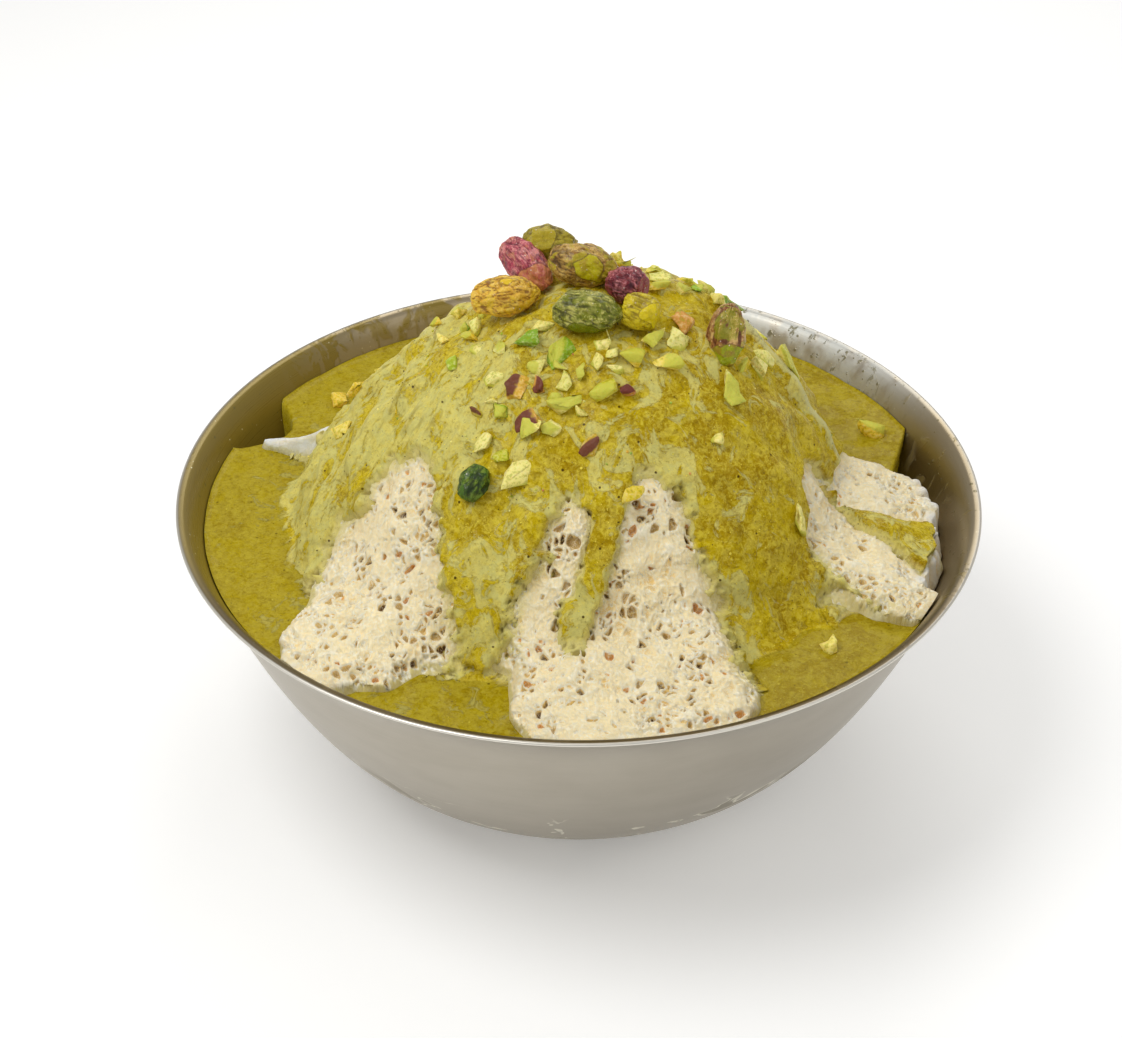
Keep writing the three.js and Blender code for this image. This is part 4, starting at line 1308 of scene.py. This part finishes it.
class SHAVEDICE_OT_kernels(bpy.types.Operator):
    """Make the whole and halved kernels that lie on the top"""

    bl_idname = "shavedice.kernels"
    bl_label = "Pistachio kernels"

    def execute(self, context):
        for order, kernel in enumerate(KERNELS):
            node, size, place, turn, cut, skin, groove, ridge, flesh_tone, window, wide = kernel
            rings, crease, flesh = kernel_skin(size, cut, 200 + 20 * order)
            ends = np.array([(-size[0] / 2 + 0.1, 0, 0), (cut * size[0] / 2 - 0.1, 0, 0)])
            world = turned(rings, turn) + place
            low, high = turned(ends, turn) + place
            toward = world - place
            toward /= np.linalg.norm(toward, axis=-1, keepdims=True)
            window = np.array(window) / np.linalg.norm(window)
            patchy = 0.18 * soft_noise(world, 2.2, 300 + order)
            shown = smooth(((toward @ window) + patchy - (1 - wide)) * 9) if wide else 0 * flesh
            flesh = np.maximum(flesh, shown)
            points, faces = closed_rings(world, low, high)
            values = {
                "flesh": np.concatenate([[0], flesh.ravel(), [float(cut < 1)]]),
                "crease": np.concatenate([[0], (crease * (1 - flesh)).ravel(), [0]]),
            }
            tones = [colour(*tone) for tone in (skin, groove, ridge, flesh_tone)]
            material = kernel_finish(node + "_skin", *tones)
            piece = new_piece(node.replace("kernel", "nut"), points, faces, material, values)
            hand_over(piece, "pistachio_kernel", node)
        return {"FINISHED"}


# ---- chopped pistachio ----

# Chips that show from the front: angle, radius on the heap, heading, length, width, depth, tone.
# A tone under 0.4 is pale green flesh, up to 0.7 yellow flesh, up to 0.85 deep green, and the rest
# has purple skin.
CHIPS = (
    (-37, 31.3, 80, 8.8, 4.2, 3.0, 0.20),
    (-32, 17.5, 15, 5.0, 4.2, 3.6, 0.95),
    (-111, 40.3, 80, 8.0, 5.2, 3.0, 0.30),
    (-34, 53.1, 68, 6.6, 4.0, 2.8, 0.30),
    (-92, 35.0, 70, 5.0, 3.0, 2.0, 0.90),
    (-80, 41.8, 10, 5.2, 2.6, 1.6, 0.62),
    (-50, 36.9, 60, 3.6, 2.4, 1.8, 0.35),
    (169, 49.4, 20, 6.0, 4.4, 3.0, 0.60),
    (163, 47.0, 60, 4.6, 3.8, 2.8, 0.55),
    (179, 52.5, 70, 4.8, 3.0, 2.4, 0.50),
    (40, 48.0, 20, 6.6, 4.2, 3.0, 0.30),
    (100, 46.0, 60, 6.0, 4.4, 3.0, 0.55),
    (-4, 34.2, 30, 5.0, 4.0, 2.8, 0.18),
    (5, 38.4, 70, 6.4, 5.0, 2.6, 0.40),
    (7, 42.0, 40, 5.4, 4.0, 2.8, 0.45),
    (-19, 30.6, 20, 5.0, 3.4, 2.8, 0.62),
    (-13, 33.5, 100, 4.4, 3.2, 2.4, 0.28),
    (-136, 20.0, 30, 5.0, 4.0, 2.6, 0.80),
    (-116, 19.6, 60, 6.0, 4.2, 2.4, 0.76),
    (-140, 15.8, 80, 4.6, 2.8, 2.4, 0.35),
    (-158, 26.5, 40, 3.4, 2.4, 2.0, 0.30),
    (-148, 23.6, 10, 3.6, 2.6, 2.0, 0.25),
    (-171, 26.4, 50, 4.8, 3.4, 2.6, 0.60),
    (-91, 17.7, 20, 3.2, 2.4, 2.0, 0.30),
    (-85, 19.1, 80, 3.0, 2.4, 2.0, 0.20),
    (-92, 20.8, 50, 3.6, 2.6, 2.2, 0.32),
    (-84, 21.9, 120, 3.2, 2.6, 2.0, 0.25),
    (-73, 19.7, 60, 5.4, 4.6, 3.0, 0.62),
    (-55, 17.9, 10, 6.0, 3.2, 2.6, 0.38),
    (-43, 19.7, 30, 4.6, 3.6, 2.6, 0.22),
    (-57, 22.5, 150, 6.4, 3.6, 2.8, 0.50),
    (-106, 24.8, 70, 4.0, 3.4, 2.4, 0.15),
    (-123, 27.9, 20, 5.6, 4.6, 3.2, 0.92),
    (-117, 26.3, 110, 3.6, 2.6, 2.2, 0.94),
    (-108, 27.7, 10, 3.4, 3.0, 2.2, 0.30),
    (-102, 28.7, 25, 7.6, 3.6, 2.4, 0.22),
    (-89, 26.2, 40, 5.2, 4.0, 2.8, 0.66),
    (-80, 26.2, 20, 3.0, 2.8, 2.6, 0.97),
    (-130, 32.4, 60, 3.4, 3.0, 2.4, 0.28),
    (-126, 32.2, 130, 3.2, 2.6, 2.2, 0.74),
    (-133, 33.9, 20, 3.4, 2.4, 2.0, 0.88),
    (-114, 32.3, 30, 5.4, 3.6, 2.6, 0.93),
    (-112, 33.8, 10, 5.0, 4.0, 2.6, 0.36),
    (-106, 33.0, 60, 3.6, 3.0, 2.2, 0.26),
    (-123, 23.3, 80, 3.4, 3.0, 2.2, 0.30),
    (-138, 28.1, 50, 4.0, 3.2, 2.2, 0.22),
    (-162, 30.9, 10, 4.2, 3.0, 1.6, 0.72),
    (-126, 37.6, 90, 4.4, 3.0, 2.4, 0.28),
    (-118, 38.2, 20, 3.0, 2.4, 1.8, 0.68),
    (-96, 29.5, 10, 3.2, 2.4, 2.0, 0.33),
    (-99, 23.0, 60, 3.0, 2.2, 2.0, 0.28),
    (-111, 22.0, 10, 3.0, 2.4, 2.0, 0.20),
)

# Patches of chips out of the first view: angle, radius, how far round and down, how many.
CHIP_PATCHES = ((62, 14, 60, 7, 14), (172, 28, 20, 6, 7), (96, 34, 38, 8, 12), (30, 26, 16, 6, 8))

# Chips in the pools: x, y, heading, size, tone.
POOL_CHIPS = (
    (70.5, 29, 40, (6.6, 5.6, 4.0), 0.58),
    (52.5, -52, 50, (4.6, 3.6, 3.0), 0.42),
    (-58, 42, 10, (6.0, 5.0, 3.6), 0.60),
    (-51, 50, 70, (6.0, 4.4, 3.4), 0.45),
)


CHIP_CORNERS = 10


def chip_shape(size, draws):
    """A broken piece of nut: the hull of a few points pushed towards a block's sides."""
    mesh = bmesh.new()
    for _ in range(CHIP_CORNERS):
        spot = Vector([draws.uniform(-1, 1) for _ in range(3)])
        spot /= max(abs(part) for part in spot) ** 0.9
        mesh.verts.new([0.5 * part * extent for part, extent in zip(spot, size)])
    hull = bmesh.ops.convex_hull(mesh, input=mesh.verts)
    loose = {item for item in hull["geom_interior"] + hull["geom_unused"] if item.is_valid}
    spare = [item for item in loose if isinstance(item, bmesh.types.BMVert)]
    bmesh.ops.delete(mesh, geom=spare, context="VERTS")
    bmesh.ops.bevel(
        mesh, geom=mesh.edges[:], offset=0.04 * min(size), segments=1, affect="EDGES"
    )
    bmesh.ops.triangulate(mesh, faces=mesh.faces)
    bmesh.ops.subdivide_edges(mesh, edges=mesh.edges[:], cuts=1, use_grid_fill=True)
    bmesh.ops.triangulate(mesh, faces=mesh.faces)
    mesh.verts.index_update()
    points = np.array([vertex.co[:] for vertex in mesh.verts])
    shift = draws.uniform(0, 90)
    points = swirl(points + shift, 1.9, 0.42, 160) - shift
    points = swirl(points + shift, 0.8, 0.1, 170) - shift
    faces = np.array([[vertex.index for vertex in face.verts] for face in mesh.faces])
    mesh.free()
    return points, facing_out(points, faces)


def chip_finish():
    finish = Finish(
        "chopped_pistachio", IOR=1.46, Specular_IOR_Level=0.3, Subsurface_Weight=0.08,
        Subsurface_Scale=0.001,
    )
    tone, skin = finish.values("tone", "skin")
    fine = finish.noise(0.8, 3, 0.6)
    stops = (
        (0.0, 222, 218, 78), (0.25, 244, 234, 142), (0.42, 246, 228, 112), (0.60, 240, 204, 50),
        (0.74, 150, 186, 24), (0.82, 112, 156, 16), (0.92, 226, 176, 60), (1.0, 186, 70, 62),
    )
    nut = finish.layers(
        finish.ramp(tone, stops),
        (fine.above(0.45, 0.7) * 0.4, 250, 242, 180),
        (fine.above(0.5, 0.36) * 0.5, 150, 154, 6),
        (
            (skin + fine * 0.4 - 0.2).above(0.55, 0.8) * 0.9,
            finish.blend(tone.above(0.84, 0.88), colour(202, 200, 70), colour(98, 28, 40)),
        ),
    )
    finish.feed(Base_Color=nut, Roughness=0.36 + fine * 0.24)
    finish.bump(fine, 0.3)
    return finish.material


class SHAVEDICE_OT_chips(bpy.types.Operator):
    """Stick chopped pistachio in the sauce and float a few pieces in the pools"""

    bl_idname = "shavedice.chips"
    bl_label = "Chopped pistachio"

    def execute(self, context):
        looks = context.scene.shavedice_nuts
        draws = random.Random(looks.seed)
        wanted = []
        for angle, radius, turn, *size, tone in CHIPS:
            wanted.append((angle, radius, turn, [looks.swell * part for part in size], tone))
        for middle, radius, round_it, down, count in CHIP_PATCHES:
            for i in range(count):
                away = math.sqrt((i + 0.5) / count)
                length = draws.uniform(3, 6)
                size = (length, length * draws.uniform(0.55, 0.85), draws.uniform(2, 2.8))
                angle = middle + round_it * away * math.cos(2.4 * i)
                out = radius + down * away * math.sin(2.4 * i)
                wanted.append((angle, out, draws.uniform(0, 180), size, draws.random()))
        angle = np.array([chip[0] for chip in wanted], float)
        radius = np.array([chip[1] for chip in wanted], float)
        x, y = polar(radius, angle)
        x = x + leaning(heap_height(radius, angle))
        spots, normals, _, _ = coat_at(x, y, context.scene.shavedice_sauce.thickness)
        placed = [
            (Vector(spot), Vector(normal), *chip[2:])
            for spot, normal, chip in zip(spots, normals, wanted)
        ]
        for px, py, *chip in POOL_CHIPS:
            level = float(sauce_level(np.array(px), np.array(py)))
            placed.append((Vector((px, py, level)), Vector((0, 0, 1)), *chip))
        points, faces, tones, skins = [], [], [], []
        total = 0
        for spot, normal, turn, size, tone in placed:
            corners, triangles = chip_shape(size, draws)
            tilt = Euler((draws.uniform(-0.3, 0.3), draws.uniform(-0.3, 0.3), math.radians(turn)))
            upright = normal.to_track_quat("Z", "Y").to_matrix()
            matrix = np.array(upright @ tilt.to_matrix())
            side = corners[:, 2] / size[2] * draws.choice((-1, 1)) + corners[:, 0] / size[0] * 0.6
            centre = spot + normal * 0.22 * size[2]
            points.append(corners @ matrix.T + np.array(centre))
            faces.append(triangles + total)
            tones.append(np.full(len(corners), tone))
            skins.append(np.clip(0.4 - 1.8 * side, 0, 1))
            total += len(corners)
        points, faces, tones, skins = map(np.concatenate, (points, faces, tones, skins))
        values = {"tone": tones, "skin": skins}
        piece = new_piece("chopped_nuts", points, faces, chip_finish(), values, smooth_shaded=False)
        hand_over(piece, "pistachio_kernel", "sauce_coat")
        return {"FINISHED"}


# ---- crumbs of pistachio ----

# Inputs of the crumbs' node tree: name and kind.
CRUMB_FIELD = (
    ("Geometry", "NodeSocketGeometry"),
    ("Density", "NodeSocketFloat"),
    ("Size", "NodeSocketFloat"),
    ("Seed", "NodeSocketInt"),
)


def crumb_tree(material):
    """Nodes that scatter crumbs over the upper side of a mesh, in drifts."""
    tree = bpy.data.node_groups.new("crumbs", "GeometryNodeTree")
    tree.interface.new_socket("Geometry", in_out="OUTPUT", socket_type="NodeSocketGeometry")
    for name, kind in CRUMB_FIELD:
        tree.interface.new_socket(name, in_out="INPUT", socket_type=kind)
    graph = Graph(tree)
    given = graph.node("NodeGroupInput")
    surface, density, size, seed = (Wire(graph, given.outputs[name]) for name, _ in CRUMB_FIELD)
    upward = graph.wire("ShaderNodeSeparateXYZ", {}, {0: graph.wire("GeometryNodeInputNormal")}, 2)
    facing = graph.wire("FunctionNodeCompare", {"operation": "GREATER_THAN"}, {0: upward, 1: 0.2})
    place = graph.wire("GeometryNodeInputPosition")
    height = graph.wire("ShaderNodeSeparateXYZ", {}, {0: place}, 2)
    level = LIP * MM
    high = graph.wire("ShaderNodeMapRange", {}, {0: height, 1: level, 2: level + 0.04, 3: 0.15, 4: 1.0})
    drifts = graph.wire("ShaderNodeTexNoise", {}, {"Vector": place, "Scale": 70.0, "Detail": 1.0})
    share = graph.wire("ShaderNodeMapRange", {}, {0: drifts, 1: 0.5, 2: 0.7, 3: 0.05, 4: 1.0})
    points = graph.wire(
        "GeometryNodeDistributePointsOnFaces", {},
        {"Mesh": surface, "Selection": facing, "Density": high * share * density, "Seed": seed},
    )
    tone = graph.wire("FunctionNodeRandomValue", {"data_type": "FLOAT"}, {"Seed": seed}, 1)
    marked = graph.wire(
        "GeometryNodeStoreNamedAttribute", {"data_type": "FLOAT", "domain": "POINT"},
        {"Geometry": points, "Name": "tone", "Value": tone},
    )
    vector = {"data_type": "FLOAT_VECTOR"}
    spin = graph.wire("FunctionNodeRandomValue", vector, {0: (0, 0, 0), 1: (6, 6, 6)})
    shape = graph.wire("FunctionNodeRandomValue", vector, {0: (0.5, 0.4, 0.3), 1: (1.3, 1, 0.8)})
    scale = graph.wire("ShaderNodeVectorMath", {"operation": "SCALE"}, {0: shape, "Scale": size})
    crumb = graph.wire("GeometryNodeMeshIcoSphere", {}, {"Radius": 0.5, "Subdivisions": 1})
    placed = graph.wire(
        "GeometryNodeInstanceOnPoints", {},
        {"Points": marked, "Instance": crumb, "Rotation": spin, "Scale": scale},
    )
    solid = graph.wire("GeometryNodeRealizeInstances", {}, {0: placed})
    coloured = graph.wire("GeometryNodeSetMaterial", {}, {"Geometry": solid, "Material": material})
    graph.node("NodeGroupOutput", {}, {0: coloured})
    return tree


class SHAVEDICE_OT_crumbs(bpy.types.Operator):
    """Sprinkle fine pistachio crumbs over the coat of sauce"""

    bl_idname = "shavedice.crumbs"
    bl_label = "Pistachio crumbs"

    def execute(self, context):
        looks = context.scene.shavedice_nuts
        piece = bpy.data.objects.new("nut_crumbs", bpy.data.objects["coat_of_sauce"].data.copy())
        context.scene.collection.objects.link(piece)
        tree = crumb_tree(bpy.data.materials["chopped_pistachio"])
        modifier = piece.modifiers.new("crumbs", "NODES")
        modifier.node_group = tree
        chosen = {"Density": looks.crumbs, "Size": looks.crumb_size, "Seed": looks.seed}
        for item in tree.interface.items_tree:
            if item.in_out == "INPUT" and item.name in chosen:
                modifier[item.identifier] = chosen[item.name]
        sown = piece.evaluated_get(context.evaluated_depsgraph_get())
        mesh = bpy.data.meshes.new_from_object(sown)
        piece.modifiers.remove(modifier)
        piece.data = mesh
        if not mesh.polygons:
            raise RuntimeError("no crumbs were made")
        hand_over(piece, "pistachio_kernel", "sauce_coat")
        return {"FINISHED"}


# ---- floor, lights and camera ----

FLOOR = 6  # half the floor's width, in metres
# Lamps: name, place over the foot in metres, size, power in watts.
LAMPS = (
    ("key", (-0.28, -0.12, 0.62), 0.35, 1.78),
    ("fill", (0.42, -0.30, 0.55), 0.5, 0.5),
    ("back", (0.10, 0.55, 0.60), 0.4, 1.2),
)
LIT_PLACE = (0, 0, 0.07)  # what the lamps point at
# The camera: place in metres, degrees down and round, lens in millimetres.
EYE = (0, -0.355766, 0.308136)
EYE_DOWN = 35.54565
EYE_ROUND = 0.62919
LENS = 60.96


class SHAVEDICE_OT_stage(bpy.types.Operator):
    """Set the floor, the lights and the camera"""

    bl_idname = "shavedice.stage"
    bl_label = "Stage"

    def execute(self, context):
        scene = context.scene
        corners = [(x * FLOOR, y * FLOOR, 0) for x, y in ((-1, -1), (1, -1), (1, 1), (-1, 1))]
        mesh = bpy.data.meshes.new("floor")
        mesh.from_pydata(corners, [], [(0, 1, 2, 3)])
        floor = bpy.data.objects.new("floor", mesh)
        scene.collection.objects.link(floor)
        finish = Finish(
            "pale_floor", Base_Color=(0.95, 0.95, 0.94, 1), Roughness=0.8,
            Emission_Color=(1, 1, 1, 1), Emission_Strength=0.2,
        )
        mesh.materials.append(finish.material)

        world = bpy.data.worlds.new("studio")
        world.use_nodes = True
        backdrop = world.node_tree.nodes["Background"].inputs
        backdrop["Color"].default_value = (1, 0.99, 0.97, 1)
        backdrop["Strength"].default_value = 0.5
        scene.world = world
        for name, place, size, power in LAMPS:
            light = bpy.data.lights.new(name, "AREA")
            light.shape = "DISK"
            light.size = size
            light.energy = power
            lamp = bpy.data.objects.new(name, light)
            lamp.location = place
            toward = Vector(LIT_PLACE) - Vector(place)
            lamp.rotation_euler = toward.to_track_quat("-Z", "Y").to_euler()
            scene.collection.objects.link(lamp)
        camera = bpy.data.cameras.new("camera")
        camera.lens = LENS
        camera.clip_start = 0.01
        eye = bpy.data.objects.new("camera", camera)
        eye.location = EYE
        eye.rotation_euler = (math.radians(90 - EYE_DOWN), 0, math.radians(EYE_ROUND))
        scene.collection.objects.link(eye)
        scene.camera = eye
        scene.view_settings.view_transform = "Standard"
        return {"FINISHED"}


# ---- add-on ----


class SHAVEDICE_PT_panel(bpy.types.Panel):
    """Lists the pieces and their looks in the 3D view's sidebar"""

    bl_idname = "SHAVEDICE_PT_panel"
    bl_label = "Shaved ice"
    bl_space_type = "VIEW_3D"
    bl_region_type = "UI"
    bl_category = "Shaved ice"

    def draw(self, context):
        for group, operators in PANEL_ROWS:
            box = self.layout.box()
            if group:
                looks = getattr(context.scene, group)
                for name in looks.bl_rna.properties.keys():
                    if name not in ("rna_type", "name"):
                        box.prop(looks, name)
            for operator in operators:
                box.operator(operator.bl_idname)


GROUPS = {
    "shavedice_bowl": BowlLooks,
    "shavedice_ice": IceLooks,
    "shavedice_sauce": SauceLooks,
    "shavedice_nuts": NutLooks,
}
PANEL_ROWS = (
    ("shavedice_bowl", (SHAVEDICE_OT_bowl,)),
    ("shavedice_ice", (SHAVEDICE_OT_ice,)),
    ("shavedice_sauce", (SHAVEDICE_OT_sauce,)),
    ("shavedice_nuts", (SHAVEDICE_OT_kernels, SHAVEDICE_OT_chips, SHAVEDICE_OT_crumbs)),
    ("", (SHAVEDICE_OT_stage,)),
)
CLASSES = (
    *GROUPS.values(),
    *(operator for _, operators in PANEL_ROWS for operator in operators),
    SHAVEDICE_PT_panel,
)


def register():
    for cls in CLASSES:
        bpy.utils.register_class(cls)
    for name, group in GROUPS.items():
        setattr(bpy.types.Scene, name, bpy.props.PointerProperty(type=group))


def unregister():
    for name in GROUPS:
        delattr(bpy.types.Scene, name)
    for cls in reversed(CLASSES):
        bpy.utils.unregister_class(cls)


def main():
    register()
    bpy.ops.shavedice.bowl()
    bpy.ops.shavedice.ice()
    bpy.ops.shavedice.sauce()
    bpy.ops.shavedice.kernels()
    bpy.ops.shavedice.chips()
    bpy.ops.shavedice.crumbs()
    bpy.ops.shavedice.stage()


if __name__ == "__main__":
    main()
